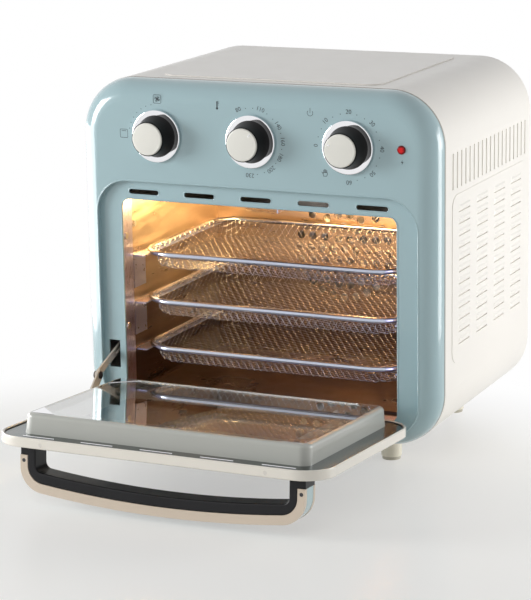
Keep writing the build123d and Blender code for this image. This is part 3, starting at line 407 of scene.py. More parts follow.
@dataclass(frozen=True)
class Lens:
    """A translucent lens that is lit from behind, brighter in its middle."""

    name: str
    rim: Colour
    heart: Colour
    centre: Point
    radius: float
    glow: float
    heart_share: float = 0.3
    rim_share: float = 0.95
    ripple_size: float = 700.0
    roughness: float = 0.12
    shine: float = 0.25

    def material(self) -> bpy.types.Material:
        """Builds the material.

        Returns:
            The material.
        """
        graph = Graph(bpy.data.materials.new(self.name))
        apart = graph.node("ShaderNodeVectorMath", {"operation": "DISTANCE"},
                           {0: graph.place((1.0, 0.0, 1.0)), 1: self.centre}, "Value")
        ripple = (graph.noise(self.ripple_size, 2.0) - 0.5) * self.radius
        outwards = graph.between(apart + ripple, self.heart_share * self.radius,
                                 self.rim_share * self.radius)
        colour = graph.blend(tinted(self.heart), tinted(self.rim), outwards)
        return graph.dress(Base_Color=colour, Roughness=self.roughness, Emission_Color=colour,
                           Emission_Strength=self.glow, Specular_IOR_Level=self.shine)


class Finish(Enum):
    """Every finish on the oven."""

    PANEL_BLUE = Enamel("panel_blue", (0.62, 0.73, 0.755), 0.2, 0.9)
    BODY_CREAM = Enamel("body_cream", (0.93, 0.915, 0.89), 0.36, 0.25)
    DOOR_CREAM = Enamel("door_cream", (0.91, 0.89, 0.85), 0.24, 0.8)
    ZINC_PAINT = Enamel("zinc_paint", (0.78, 0.74, 0.69), 0.36, 0.3)
    FRAME_GREY = Enamel("frame_grey", (0.71, 0.715, 0.69), 0.34, 0.35)
    PLAIN_SHEET = Steel("plain_sheet", (0.78, 0.78, 0.77), 0.42)
    CAVITY_STEEL = BakedSteel("cavity_steel", (0.80, 0.71, 0.62), (0.40, 0.32, 0.28), 0.34)
    FRAME_STEEL = Steel("frame_steel", (0.76, 0.74, 0.84), 0.3, (1.0, 20.0, 1.0), (0.75, 0.62, 0.62), 0.3)
    RAIL_STEEL = Steel("rail_steel", (0.80, 0.81, 0.93), 0.3, EVEN, (0.76, 0.66, 0.66), 0.3, 0.000001)
    BRIGHT_STEEL = Steel("bright_steel", (0.84, 0.82, 0.79), 0.3, EVEN, (0.70, 0.64, 0.58), 0.3, 0.000001)
    WIRE_CHROME = Steel("wire_chrome", (0.74, 0.76, 0.82), 0.2, EVEN, (0.66, 0.62, 0.62), 0.25, 0.000001)
    HEATER_TUBE = Steel("heater_tube", (0.50, 0.46, 0.44), 0.45, EVEN, (0.52, 0.42, 0.36), 0.6)
    LINER_STEEL = Steel("liner_steel", (0.36, 0.39, 0.385), 0.2, (1.0, 20.0, 20.0), (0.56, 0.46, 0.42), 0.35)
    CHROME = Steel("chrome", (0.92, 0.92, 0.93), 0.05, EVEN, (0.86, 0.86, 0.87), 0.1, 0.000001)
    KNOB_BLACK = Plastic("knob_black", (0.06, 0.055, 0.06), 0.4, 0.0, 0.000004, 0.12)
    DARK_STEEL = Steel("dark_steel", (0.30, 0.30, 0.31), 0.38)
    FAN_ALUMINIUM = Steel("fan_aluminium", (0.80, 0.80, 0.81), 0.36)
    BLACK_GRIP = Plastic("black_grip", (0.10, 0.10, 0.11), 0.36, 0.0, 0.00002, 0.3)
    HANDLE_CREAM = Plastic("handle_cream", (0.83, 0.77, 0.70), 0.34, 0.4)
    HANDLE_BLUE = Enamel("handle_blue", (0.66, 0.77, 0.79), 0.2, 0.9)
    CAP_CREAM = Plastic("cap_cream", (0.90, 0.895, 0.865), 0.34, 0.5, 0.00001)
    FOOT_CREAM = Plastic("foot_cream", (0.95, 0.93, 0.86), 0.36, 0.3)
    PAD_GREY = Plastic("pad_grey", (0.78, 0.76, 0.70), 0.6)
    CONTROL_BLACK = Plastic("control_black", (0.28, 0.28, 0.29), 0.5)
    DIAL_INK = Plastic("dial_ink", (0.22, 0.25, 0.27), 0.45, 0.0, 0.000002)
    # painted shade: the grey of the shadowed gap at the front panel's seam
    SEAM_GREY = Plastic("seam_grey", (0.60, 0.585, 0.55), 0.5, 0.0, 0.000002)
    # painted shade: the dark of the gap between the door's liner and its shell
    GROOVE_DARK = Plastic("groove_dark", (0.30, 0.27, 0.25), 0.5, 0.0, 0.000002)
    GLASS = ClearGlass("glass")
    SMOKED_GLASS = ClearGlass("smoked_glass", (0.42, 0.41, 0.40), 0.01, 0.0)
    LENS_RED = Lens("lens_red", (0.36, 0.03, 0.05), (0.78, 0.10, 0.11), (0.1386, 0.0, 0.2877), 0.0038, 0.3)

    @cache
    def material(self) -> bpy.types.Material:
        """The finish's material, built when it is first asked for."""
        return self.value.material()

    def dress(self, piece: bpy.types.Object) -> None:
        """Gives a piece this finish in place of its materials."""
        piece.data.materials.clear()
        piece.data.materials.append(self.material())


SLOT_FINISHES: dict[str, Finish] = {finish.value.name: finish for finish in Finish} | {
    "panel_paint": Finish.PANEL_BLUE,
    "body_paint": Finish.BODY_CREAM,
    "wire_steel": Finish.WIRE_CHROME,
    "heater_steel": Finish.HEATER_TUBE,
    "door_paint": Finish.DOOR_CREAM,
    "clear_glass": Finish.GLASS,
    "control_plastic": Finish.CONTROL_BLACK,
    "motor_steel": Finish.PLAIN_SHEET,
    "pad_rubber": Finish.PAD_GREY,
}
NODE_FINISHES: dict[str, Finish] = {
    "cavity_frame": Finish.FRAME_STEEL,
    "outer_glass": Finish.SMOKED_GLASS,
    "stay_arm": Finish.ZINC_PAINT,
    "stay_strap": Finish.ZINC_PAINT,
    "door_screws": Finish.BRIGHT_STEEL,
    "cavity_screws": Finish.BRIGHT_STEEL,
}


def dress_cad_nodes() -> int:
    """Gives every CAD node the material of its record slot.

    Returns:
        How many nodes there are.
    """
    for part in frame["record"]["subparts"]:
        name = part["node"]
        NODE_FINISHES.get(name, SLOT_FINISHES[part["material_slot"]]).dress(frame["nodes"][name])
    return len(frame["record"]["subparts"])


def new_piece(name: str, mesh: bpy.types.Mesh, body: str, finish: Finish,
              smooth: bool = True) -> bpy.types.Object:
    """Puts a mesh into the scene as a piece.

    Args:
        name: the piece's name.
        mesh: its mesh, in the model's frame.
        body: the body that it rides on.
        finish: its finish.
        smooth: shades its faces smoothly.

    Returns:
        The piece.
    """
    piece = bpy.data.objects.new(name, mesh)
    bpy.context.scene.collection.objects.link(piece)
    finish.dress(piece)
    mesh.polygons.foreach_set("use_smooth", [smooth] * len(mesh.polygons))
    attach(piece, body)
    return piece


def mesh_of(name: str, shape: bmesh.types.BMesh) -> bpy.types.Mesh:
    """Turns a bmesh into a mesh and frees it.

    Args:
        name: the mesh's name.
        shape: what was built.

    Returns:
        The mesh.
    """
    bmesh.ops.recalc_face_normals(shape, faces=shape.faces)
    mesh = bpy.data.meshes.new(name)
    shape.to_mesh(mesh)
    shape.free()
    return mesh


def skin(name: str, rings: Sequence[Sequence[Point | Vector]], caps: Sequence[int]) -> bpy.types.Mesh:
    """Joins closed rings of points, one after the other.

    Args:
        name: the mesh's name.
        rings: the rings, each with as many points as the next.
        caps: which of the rings get a face across.

    Returns:
        The mesh.
    """
    shape = bmesh.new()
    rows = [[shape.verts.new(point) for point in ring] for ring in rings]
    for row, following in zip(rows, rows[1:]):
        for step in range(len(row)):
            after = (step + 1) % len(row)
            shape.faces.new((row[step], row[after], following[after], following[step]))
    for ring in caps:
        shape.faces.new(rows[ring])
    return mesh_of(name, shape)


def lathe(name: str, profile: Sequence[Spot], centre: Point, segments: int = 96) -> bpy.types.Mesh:
    """Turns a profile about an axis that runs from front to back.

    Args:
        name: the mesh's name.
        profile: (radius, out) points. Out is measured from the centre towards the front.
        centre: a point on the axis.
        segments: faces round the axis.

    Returns:
        The mesh.
    """
    turns = [math.tau * step / segments for step in range(segments)]
    rings = [[Vector(centre) + Vector((radius * math.cos(turn), -out, radius * math.sin(turn)))
              for turn in turns] for radius, out in profile]
    return skin(name, rings, (0, -1))


def rounded_outline(half_width: float, low: float, high: float, corner: float, steps: int) -> list[Spot]:
    """Points round an upright rectangle with round corners.

    Args:
        half_width: half its width, to each side of zero.
        low: height of its lower edge.
        high: height of its upper edge.
        corner: corner radius.
        steps: points on each corner, less one.

    Returns:
        The (x, height) points, in order.
    """
    points = []
    for turn, (side, end) in enumerate(((1, 1), (-1, 1), (-1, -1), (1, -1))):
        for step in range(steps + 1):
            angle = math.pi / 2 * (turn + step / steps)
            points.append((side * (half_width - corner) + corner * math.cos(angle),
                           end * ((high - low) / 2 - corner) + corner * math.sin(angle) + (low + high) / 2))
    return points


def bead(name: str, points: Sequence[Point], radius: float, closed: bool = True) -> bpy.types.Mesh:
    """A round wire along points.

    Args:
        name: the mesh's name.
        points: the wire's middle line.
        radius: the wire's radius.
        closed: joins the last point to the first.

    Returns:
        The mesh.
    """
    curve = bpy.data.curves.new(name, "CURVE")
    curve.dimensions = "3D"
    curve.bevel_depth = radius
    curve.bevel_resolution = BEAD_ROUNDNESS
    curve.use_fill_caps = True
    spline = curve.splines.new("POLY")
    spline.points.add(len(points) - 1)
    for knot, place in zip(spline.points, points):
        knot.co = (*place, 1.0)
    spline.use_cyclic_u = closed
    holder = bpy.data.objects.new(name, curve)
    mesh = bpy.data.meshes.new_from_object(holder)
    bpy.data.objects.remove(holder)
    return mesh


@dataclass
class WireBasket:
    """A basket of wire net, folded up at its edges and hooked over the rim."""

    level: str
    rim_wire: float = 0.0025
    wall_inset: float = 0.007
    rim_corner: float = 0.030
    cell_width: float = 0.0064
    cell_length: float = 0.0105
    strand: float = 0.0005
    wall_lean: float = 0.06
    hook_steepness: float = 1.6

    def build(self) -> bpy.types.Object:
        """Builds the net.

        Returns:
            The net.
        """
        low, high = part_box(f"{self.level}_basket_rim")
        tray_low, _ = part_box(f"{self.level}_basket_tray")
        edge = self.rim_wire + self.wall_inset
        self.middle = ((low[0] + high[0]) / 2, (low[1] + high[1]) / 2)
        self.half = ((high[0] - low[0]) / 2 - edge, (high[1] - low[1]) / 2 - edge)
        self.corner = self.rim_corner - self.wall_inset
        self.floor = tray_low[2] + self.strand / 2
        self.rise = (low[2] + high[2]) / 2 - self.floor
        shape = bmesh.new()
        self.weave(shape)
        net = new_piece(f"{self.level}_basket_net", mesh_of("net", shape), f"{self.level}_basket",
                        Finish.WIRE_CHROME)
        strands = net.modifiers.new("strands", "WIREFRAME")
        strands.thickness = self.strand
        strands.use_even_offset = False
        strands.use_boundary = True
        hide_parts(f"{self.level}_basket_tray")
        return net

    def weave(self, shape: bmesh.types.BMesh) -> None:
        """Adds the diamonds between the strands.

        Args:
            shape: what the diamonds are added to.
        """
        reach = self.rise + self.wall_inset
        columns = math.ceil(2 * (self.half[0] + reach) / self.cell_width)
        rows = math.ceil(2 * (self.half[1] + reach) / self.cell_length)
        knots: dict[tuple[int, int], bmesh.types.BMVert] = {}
        for column in range(-columns, columns + 1):
            for row in range(-rows, rows + 1):
                if (column + row) % 2 == 0:
                    continue
                corners = ((column - 1, row), (column, row - 1), (column + 1, row), (column, row + 1))
                flat = [(self.cell_width / 2 * u, self.cell_length / 2 * v) for u, v in corners]
                if max(self.outside(x, y)[2] for x, y in flat) > reach:
                    continue
                for corner, (x, y) in zip(corners, flat):
                    if corner not in knots:
                        knots[corner] = shape.verts.new(self.folded(x, y))
                shape.faces.new([knots[corner] for corner in corners])

    def outside(self, x: float, y: float) -> tuple[Vector, Vector, float]:
        """Finds where a point lies against the tray's outline.

        Args:
            x: place across, from the middle.
            y: place in depth, from the middle.

        Returns:
            The nearest point of the outline, the way out there, and how far outside the point is.
        """
        core = Vector((max(-self.half[0] + self.corner, min(self.half[0] - self.corner, x)),
                       max(-self.half[1] + self.corner, min(self.half[1] - self.corner, y))))
        out = Vector((x, y)) - core
        distance = out.length
        way = out / distance if distance > 0 else Vector((1.0, 0.0))
        return core + way * self.corner, way, distance - self.corner

    def folded(self, x: float, y: float) -> Point:
        """Folds a point of the flat net to its place in the basket.

        Args:
            x: place across, from the middle.
            y: place in depth, from the middle.

        Returns:
            The place in the model's frame.
        """
        edge, way, distance = self.outside(x, y)
        if distance <= 0:
            return (self.middle[0] + x, self.middle[1] + y, self.floor)
        height = min(distance, self.rise)
        over = max(0.0, distance - self.rise)
        lift = self.rim_wire * min(1.0, over / self.wall_inset * self.hook_steepness)
        lean = self.wall_lean * height
        place = edge + way * (over + lean * (1 - over / self.wall_inset))
        return (self.middle[0] + place.x, self.middle[1] + place.y, self.floor + height + lift)


@dataclass
class Knob:
    """A knob: a bright flange, a dark flared body and a cream cap with a tick."""

    control: str
    tick_deg: float | None = None
    cad_reach: float = 0.0196
    gap: float = 0.0008
    shaft_radius: float = 0.003
    flange_radius: float = 0.0232
    flange_front: float = 0.0037
    flange_soft: float = 0.0007
    flange_dish: float = 0.0006
    overlap: float = 0.001
    body_radius: float = 0.0188
    body_front: float = 0.0196
    body_hollow: float = 0.0005
    body_steps: int = 12
    nose_radius: float = 0.0152
    nose_soft: float = 0.0002
    cap_radius: float = 0.0143
    cap_gap: float = 0.0001
    cap_seat: float = 0.015
    cap_front: float = 0.0208
    cap_round: float = 0.0012
    cap_middle: float = 0.002
    cap_steps: int = 6
    tick_start: float = 0.0098
    tick_end: float = 0.0126
    tick_width: float = 0.0009
    tick_height: float = 0.00025
    tick_narrowing: float = 0.6

    def build(self) -> None:
        """Builds the knob's pieces."""
        low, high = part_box(f"{self.control}_knob_skirt")
        self.centre = ((low[0] + high[0]) / 2, low[1] + self.cad_reach, (low[2] + high[2]) / 2)
        ring = self.turned("flange", self.flange(), Finish.CHROME, "chrome")
        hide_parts(f"{self.control}_knob_skirt")
        self.turned("body", self.flare(), Finish.KNOB_BLACK, "chrome")
        cap = self.turned("disc", self.cap(), Finish.CAP_CREAM, "cap_cream")
        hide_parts(f"{self.control}_knob_cap")
        if self.tick_deg is not None:
            self.tick()

    def turned(self, part: str, profile: Sequence[Spot], finish: Finish, slot: str) -> bpy.types.Object:
        """Adds a turned piece and keeps its real edges crisp.

        Args:
            part: the last word of its name.
            profile: its (radius, out) points.
            finish: its finish.
            slot: the record's slot; not used.

        Returns:
            The piece.
        """
        body = f"{self.control}_knob"
        piece = new_piece(f"{body}_{part}", lathe(part, profile, self.centre), body, finish)
        piece.data.set_sharp_from_angle(angle=math.radians(SHARP_DEG))
        return piece

    def flange(self) -> list[Spot]:
        """The flange's profile, with soft edges and a slightly dished face.

        Returns:
            The (radius, out) points.
        """
        radius, front, soft = self.flange_radius, self.flange_front, self.flange_soft
        return [(self.shaft_radius, self.gap), (radius - soft, self.gap), (radius, self.gap + soft),
                (radius, front - soft), (radius - 0.3 * soft, front - 0.3 * soft), (radius - soft, front),
                (radius - 1.5 * soft, front), (self.body_radius - self.overlap, front - self.flange_dish)]

    def flare(self) -> list[Spot]:
        """The body's profile, hollowed from the flange to its nose, with a seat for the cap.

        Returns:
            The (radius, out) points.
        """
        points = []
        taper = self.nose_radius - self.body_radius
        length = self.body_front - self.nose_soft - self.flange_front
        for step in range(self.body_steps + 1):
            share = step / self.body_steps
            hollow = self.body_hollow * math.sin(math.pi * share)
            points.append((self.body_radius + taper * share - hollow,
                           self.flange_front - self.overlap + length * share))
        soft, seat_radius = self.nose_soft, self.cap_radius + self.cap_gap
        return points + [(self.nose_radius - soft, self.body_front - soft / 2),
                         (self.nose_radius - 3 * soft, self.body_front),
                         (seat_radius, self.body_front), (seat_radius, self.cap_seat)]

    def cap(self) -> list[Spot]:
        """The cap's profile, with a round edge.

        Returns:
            The (radius, out) points.
        """
        turns = [math.pi / 2 * step / self.cap_steps for step in range(self.cap_steps + 1)]
        edge = [(self.cap_radius - self.cap_round + self.cap_round * math.cos(turn),
                 self.cap_front - self.cap_round + self.cap_round * math.sin(turn)) for turn in turns]
        seat = (self.cap_radius, self.cap_seat + 2 * self.cap_gap)
        return [seat, *edge, (self.cap_middle, self.cap_front)]

    def tick(self) -> None:
        """Adds the raised tick that points at the dial."""
        angle = math.radians(self.tick_deg)
        along = Vector((math.sin(angle), 0.0, math.cos(angle)))
        across = Vector((math.cos(angle), 0.0, -math.sin(angle)))
        base = Vector(self.centre) + Vector((0.0, -self.cap_front, 0.0))
        places = ((self.tick_start, -1), (self.tick_start, 1), (self.tick_end, 1), (self.tick_end, -1))
        rings = []
        for height, narrowing in ((0.0, 1.0), (self.tick_height, self.tick_narrowing)):
            half = narrowing * self.tick_width / 2
            rings.append([base + along * far + across * side * half + Vector((0.0, -height, 0.0))
                          for far, side in places])
        new_piece(f"{self.control}_knob_tick", skin("tick", rings, (1,)), f"{self.control}_knob",
                  Finish.CHROME, smooth=False)


@dataclass
class DialPrint:
    """The printed marks round the knobs: numbers, dots and plain symbols, as thin films of ink.

    The fan, oven and hand signs stand at an angle and a radius on their knob's ring, the others at
    (x, height).
    """

    film: float = 0.00006
    knob_pitch: float = 0.0908
    height: float = 0.2873
    stroke: float = 0.00042
    thin_stroke: float = 0.0003
    finger_stroke: float = 0.00055
    dot: float = 0.00042
    dot_ring: float = 0.0290
    digit_size: float = 0.0054
    degrees_ring: float = 0.0296
    minutes_ring: float = 0.0302
    function_dot_ring: float = 0.0278
    sign_half: float = 0.0037
    sign_steps: int = 4
    fan_sign: Spot = (1.0, 0.0326)
    oven_sign: Spot = (-89.0, 0.0330)
    hand_sign: Spot = (223.0, 0.0322)
    thermometer: Spot = (-0.0322, 0.3145)
    clock_sign: Spot = (0.0554, 0.3149)
    mains_sign: Spot = (0.1392, 0.2772)
    shapes: bmesh.types.BMesh = field(default_factory=bmesh.new)

    def build(self) -> bpy.types.Object:
        """Prints all marks.

        Returns:
            The print.
        """
        low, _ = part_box("front_panel")
        self.function_dial()
        self.temperature_dial()
        self.timer_dial()
        self.bolt(*self.mains_sign)
        bmesh.ops.translate(self.shapes, verts=self.shapes.verts, vec=(0.0, low[1] - self.film, 0.0))
        return new_piece("dial_print", mesh_of("dial_print", self.shapes), "cabinet", Finish.DIAL_INK,
                         smooth=False)

    def patch(self, points: Iterable[Spot]) -> None:
        """Adds a flat patch with (x, height) corners."""
        self.shapes.faces.new([self.shapes.verts.new((x, 0.0, z)) for x, z in points])

    def line(self, start: Spot, end: Spot, width: float | None = None) -> None:
        """Adds a straight stroke.

        Args:
            start: (x, height) of one end.
            end: the other end.
            width: its width, or None for the usual one.
        """
        run = Vector(end) - Vector(start)
        side = Vector((-run.y, run.x)).normalized() * (width or self.stroke) / 2
        ends = [Vector(start) + side, Vector(start) - side, Vector(end) - side, Vector(end) + side]
        self.patch([(spot.x, spot.y) for spot in ends])

    def path(self, points: Sequence[Spot], closed: bool = False) -> None:
        """Adds strokes through points.

        Args:
            points: the path.
            closed: joins the last point to the first.
        """
        following = list(points[1:]) + ([points[0]] if closed else [])
        for start, end in zip(points, following):
            self.line(start, end)

    def disc(self, x: float, z: float, radius: float, steps: int = 12) -> None:
        """Adds a round dot about (x, z), as a patch with so many steps round it."""
        turns = [math.tau * step / steps for step in range(steps)]
        self.patch([(x + radius * math.cos(turn), z + radius * math.sin(turn)) for turn in turns])

    def around(self, knob_x: float, angle_deg: float, radius: float) -> Spot:
        """The (x, height) place on a ring round a knob, at an angle clockwise from the top."""
        angle = math.radians(angle_deg)
        return (knob_x + radius * math.sin(angle), self.height + radius * math.cos(angle))

    def number(self, text: str, knob_x: float, angle_deg: float, radius: float) -> None:
        """Prints a number on a dial, its foot towards the knob.

        Args:
            text: the number.
            knob_x: the knob's place across.
            angle_deg: angle clockwise from the top.
            radius: the ring's radius.
        """
        letters = bpy.data.curves.new("number", "FONT")
        letters.body = text
        letters.size = self.digit_size
        letters.align_x = "CENTER"
        letters.align_y = "CENTER"
        letters.resolution_u = 3
        holder = bpy.data.objects.new("number", letters)
        flat = bpy.data.meshes.new_from_object(holder)
        bpy.data.objects.remove(holder)
        x, z = self.around(knob_x, angle_deg, radius)
        upright = Matrix.Rotation(math.radians(90.0), 4, "X")
        turned = Matrix.Rotation(math.radians(angle_deg), 4, "Y")
        flat.transform(Matrix.Translation((x, 0.0, z)) @ turned @ upright)
        self.shapes.from_mesh(flat)

    def ring_dots(self, knob_x: float, angles: Iterable[float], radius: float) -> None:
        """Adds dots on a ring round a knob, at angles clockwise from the top."""
        for angle in angles:
            self.disc(*self.around(knob_x, angle, radius), self.dot)

    def frame_of(self, x: float, z: float, corner: float) -> None:
        """Adds a sign's square outline, with round corners.

        Args:
            x: place across.
            z: height.
            corner: its corner radius.
        """
        half = self.sign_half
        outline = rounded_outline(half, -half, half, corner, self.sign_steps)
        self.path([(x + u, z + v) for u, v in outline], closed=True)

    def function_dial(self) -> None:
        """Prints the fan sign, the oven sign and the dots between them."""
        knob_x = -self.knob_pitch
        tip_reach, tail_reach, twist = 0.0026, 0.0021, 0.75
        fan_x, fan_z = self.around(knob_x, *self.fan_sign)
        self.frame_of(fan_x, fan_z, 0.001)
        for quarter in range(4):
            turn = math.tau * (quarter + 0.5) / 4
            tip = (fan_x + tip_reach * math.cos(turn), fan_z + tip_reach * math.sin(turn))
            tail = (fan_x + tail_reach * math.cos(turn + twist), fan_z + tail_reach * math.sin(turn + twist))
            self.path([(fan_x, fan_z), tip, tail], closed=True)
        bar_half, bar_up = 0.0022, 0.0023
        oven_x, oven_z = self.around(knob_x, *self.oven_sign)
        self.frame_of(oven_x, oven_z, 0.0007)
        self.line((oven_x - bar_half, oven_z + bar_up), (oven_x + bar_half, oven_z + bar_up))
        self.ring_dots(knob_x, [-11.25 * step for step in range(1, 8)], self.function_dot_ring)

    def temperature_dial(self) -> None:
        """Prints the temperatures, the dots between them and the thermometer."""
        low, high, low_deg, high_deg = 80, 230, -24.0, 183.5
        numbered = (low, 110, 140, 160, 180, 200, high)
        per_degree = (high_deg - low_deg) / (high - low)
        for value in numbered:
            self.number(str(value), 0.0, low_deg + (value - low) * per_degree, self.degrees_ring)
        dotted = [value for value in range(low, high, 10) if value not in numbered]
        self.ring_dots(0.0, [low_deg + (value - low) * per_degree for value in dotted], self.dot_ring)
        x, z = self.thermometer
        bulb, stem = 0.0011, 0.0062
        self.disc(x, z, bulb)
        self.line((x, z), (x, z + stem), bulb)
        for step in range(3):
            level = z + 0.003 + 0.0013 * step
            self.line((x + 0.0009, level), (x + 0.0019, level), self.thin_stroke)

    def timer_dial(self) -> None:
        """Prints the minutes, the dots between them, the clock sign and the hand sign."""
        knob_x = self.knob_pitch
        turns = [-90.0 + 45.0 * step for step in range(7)]
        for step, turn in enumerate(turns):
            self.number(str(10 * step), knob_x, turn, self.minutes_ring)
        self.ring_dots(knob_x, [turn + part for turn in turns[:-1] for part in (15.0, 30.0)], self.dot_ring)
        x, z = self.clock_sign
        reach, pointer = 0.0026, 0.0042
        arc = [math.radians(angle) for angle in range(-220, 41, 20)]
        self.path([(x + reach * math.cos(turn), z + reach * math.sin(turn)) for turn in arc])
        self.line((x, z), (x, z + pointer))
        self.hand(*self.around(knob_x, *self.hand_sign))

    def hand(self, x: float, z: float) -> None:
        """Prints a small open hand.

        Args:
            x: place across.
            z: height.
        """
        first_finger, finger_pitch, knuckles = -0.0013, 0.00095, 0.0006
        palm = ((-0.0017, -0.0026), (0.0013, -0.0026), (0.0021, -0.0010), (0.0021, knuckles),
                (-0.0017, knuckles))
        self.path([(x + u, z + v) for u, v in palm], closed=True)
        for finger, length in enumerate((0.0022, 0.0029, 0.0027, 0.0021)):
            start = x + first_finger + finger_pitch * finger
            self.line((start, z + knuckles), (start, z + knuckles + length), self.finger_stroke)
        self.line((x - 0.0017, z - 0.0008), (x - 0.0031, z + 0.0011), self.finger_stroke)

    def bolt(self, x: float, z: float) -> None:
        """Prints the mains sign, a small lightning bolt.

        Args:
            x: place across.
            z: height.
        """
        corners = ((0.0006, 0.0026), (-0.0012, -0.0003), (0.0001, -0.0003),
                   (-0.0006, -0.0026), (0.0012, 0.0005), (-0.0001, 0.0005))
        self.patch([(x + u, z + v) for u, v in corners])


@dataclass
class PanelEdges:
    """The rolled edges of the front panel: round its recess, its opening and its vent slots."""

    half_width: float = 0.170
    bottom: float = 0.0245
    edge_round: float = 0.019
    edge_limit: float = 0.99
    recess_half_width: float = 0.1529
    recess_low: float = 0.036
    recess_high: float = 0.2454
    recess_corner: float = 0.030
    recess_steps: int = 14
    recess_depth: float = 0.0065
    recess_clear: float = 0.0004
    recess_sunk: float = 0.0007
    recess_bead: float = 0.0010
    opening_half_width: float = 0.1318
    opening_low: float = 0.047
    opening_high: float = 0.228
    opening_corner: float = 0.008
    opening_steps: int = 10
    opening_clear: float = 0.0003
    opening_sunk: float = 0.0003
    opening_bead: float = 0.0008
    slots: int = 5
    slot_pitch: float = 0.0546
    slot_length: float = 0.030
    slot_height: float = 0.0052
    slot_level: float = 0.2347
    slot_flat: float = 0.0001
    slot_steps: int = 8
    slot_bead: float = 0.0006

    def build(self) -> None:
        """Builds the beads."""
        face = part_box("front_panel")[0][1]
        floor = face + self.recess_depth + self.opening_sunk
        clear = self.recess_clear
        outline = rounded_outline(self.recess_half_width + clear, self.recess_low - clear,
                                  self.recess_high + clear, self.recess_corner, self.recess_steps)
        self.bead("recess_edge", [(x, face + self.fall(x, z) + self.recess_sunk, z) for x, z in outline],
                  self.recess_bead)
        clear = self.opening_clear
        outline = rounded_outline(self.opening_half_width + clear, self.opening_low - clear,
                                  self.opening_high + clear, self.opening_corner, self.opening_steps)
        self.bead("opening_edge", [(x, floor, z) for x, z in outline], self.opening_bead)
        half = self.slot_height / 2
        slot = rounded_outline(self.slot_length / 2, self.slot_level - half, self.slot_level + half,
                               half - self.slot_flat, self.slot_steps)
        for number in range(self.slots):
            middle = (number - (self.slots - 1) / 2) * self.slot_pitch
            self.bead(f"vent_edge_{number + 1}", [(x + middle, floor, z) for x, z in slot], self.slot_bead)

    def fall(self, x: float, z: float) -> float:
        """How far the panel's rounded rim has fallen back at a place.

        Args:
            x: place across.
            z: height.

        Returns:
            The distance behind the flat face.
        """
        low = self.bottom + self.edge_round - z
        side = abs(x) - (self.half_width - self.edge_round)
        into = min(self.edge_round * self.edge_limit, max(0.0, low, side))
        return self.edge_round - math.sqrt(self.edge_round ** 2 - into ** 2)

    def bead(self, name: str, points: Sequence[Point], radius: float) -> None:
        """Adds one painted bead along points."""
        new_piece(name, bead(name, points, radius), "cabinet", Finish.PANEL_BLUE)


@dataclass
class CasingTrim:
    """A grey band of painted shade for the gap where the front panel meets the casing, and a thin sheet set
    into the back of each side's vents.
    """

    half_width: float = 0.170
    low: float = 0.0245
    high: float = 0.3355
    corner: float = 0.048
    corner_steps: int = 16
    seam_place: float = -0.003385
    seam_half: float = 0.0010
    seam_rise: float = 0.00015
    seam_root: float = -0.0004
    shield_place: float = 0.1690
    shield_front: float = 0.012
    shield_rear: float = 0.2125
    shield_low: float = 0.096
    shield_high: float = 0.284
    shield_fold: float = 0.005
    shield_sheet: float = 0.0005

    def build(self) -> None:
        """Builds the seam's band of painted shade and both sheets."""
        rings = []
        root, rise = self.seam_root, self.seam_rise
        for out, side in ((root, -1), (rise, -1), (rise, 1), (root, 1)):
            outline = rounded_outline(self.half_width + out, self.low - out, self.high + out,
                                      self.corner + out, self.corner_steps)
            rings.append([(x, self.seam_place + side * self.seam_half, z) for x, z in outline])
        # painted shade: a grey band that stands in for the shadow in the gap between panel and casing
        new_piece("panel_seam", skin("panel_seam", rings, ()), "cabinet", Finish.SEAM_GREY,
                  smooth=False)
        for name, side in (("left", -1), ("right", 1)):
            self.shield(f"vent_sheet_{name}", side)

    def shield(self, name: str, side: int) -> None:
        """Adds a folded sheet at the back of one side's vents.

        Args:
            name: its name.
            side: -1 for the left, 1 for the right.
        """
        inner = self.shield_place - self.shield_fold
        profile = ((inner, self.shield_low), (self.shield_place, self.shield_low),
                   (self.shield_place, self.shield_high), (inner, self.shield_high))
        shape = bmesh.new()
        rows = [[shape.verts.new((side * x, y, z)) for x, z in profile]
                for y in (self.shield_front, self.shield_rear)]
        for step in range(3):
            shape.faces.new((rows[0][step], rows[0][step + 1], rows[1][step + 1], rows[1][step]))
        sheet = new_piece(name, mesh_of(name, shape), "cabinet", Finish.BODY_CREAM,
                          smooth=False)
        thickness = sheet.modifiers.new("thickness", "SOLIDIFY")
        thickness.thickness = self.shield_sheet
        thickness.offset = 0.0


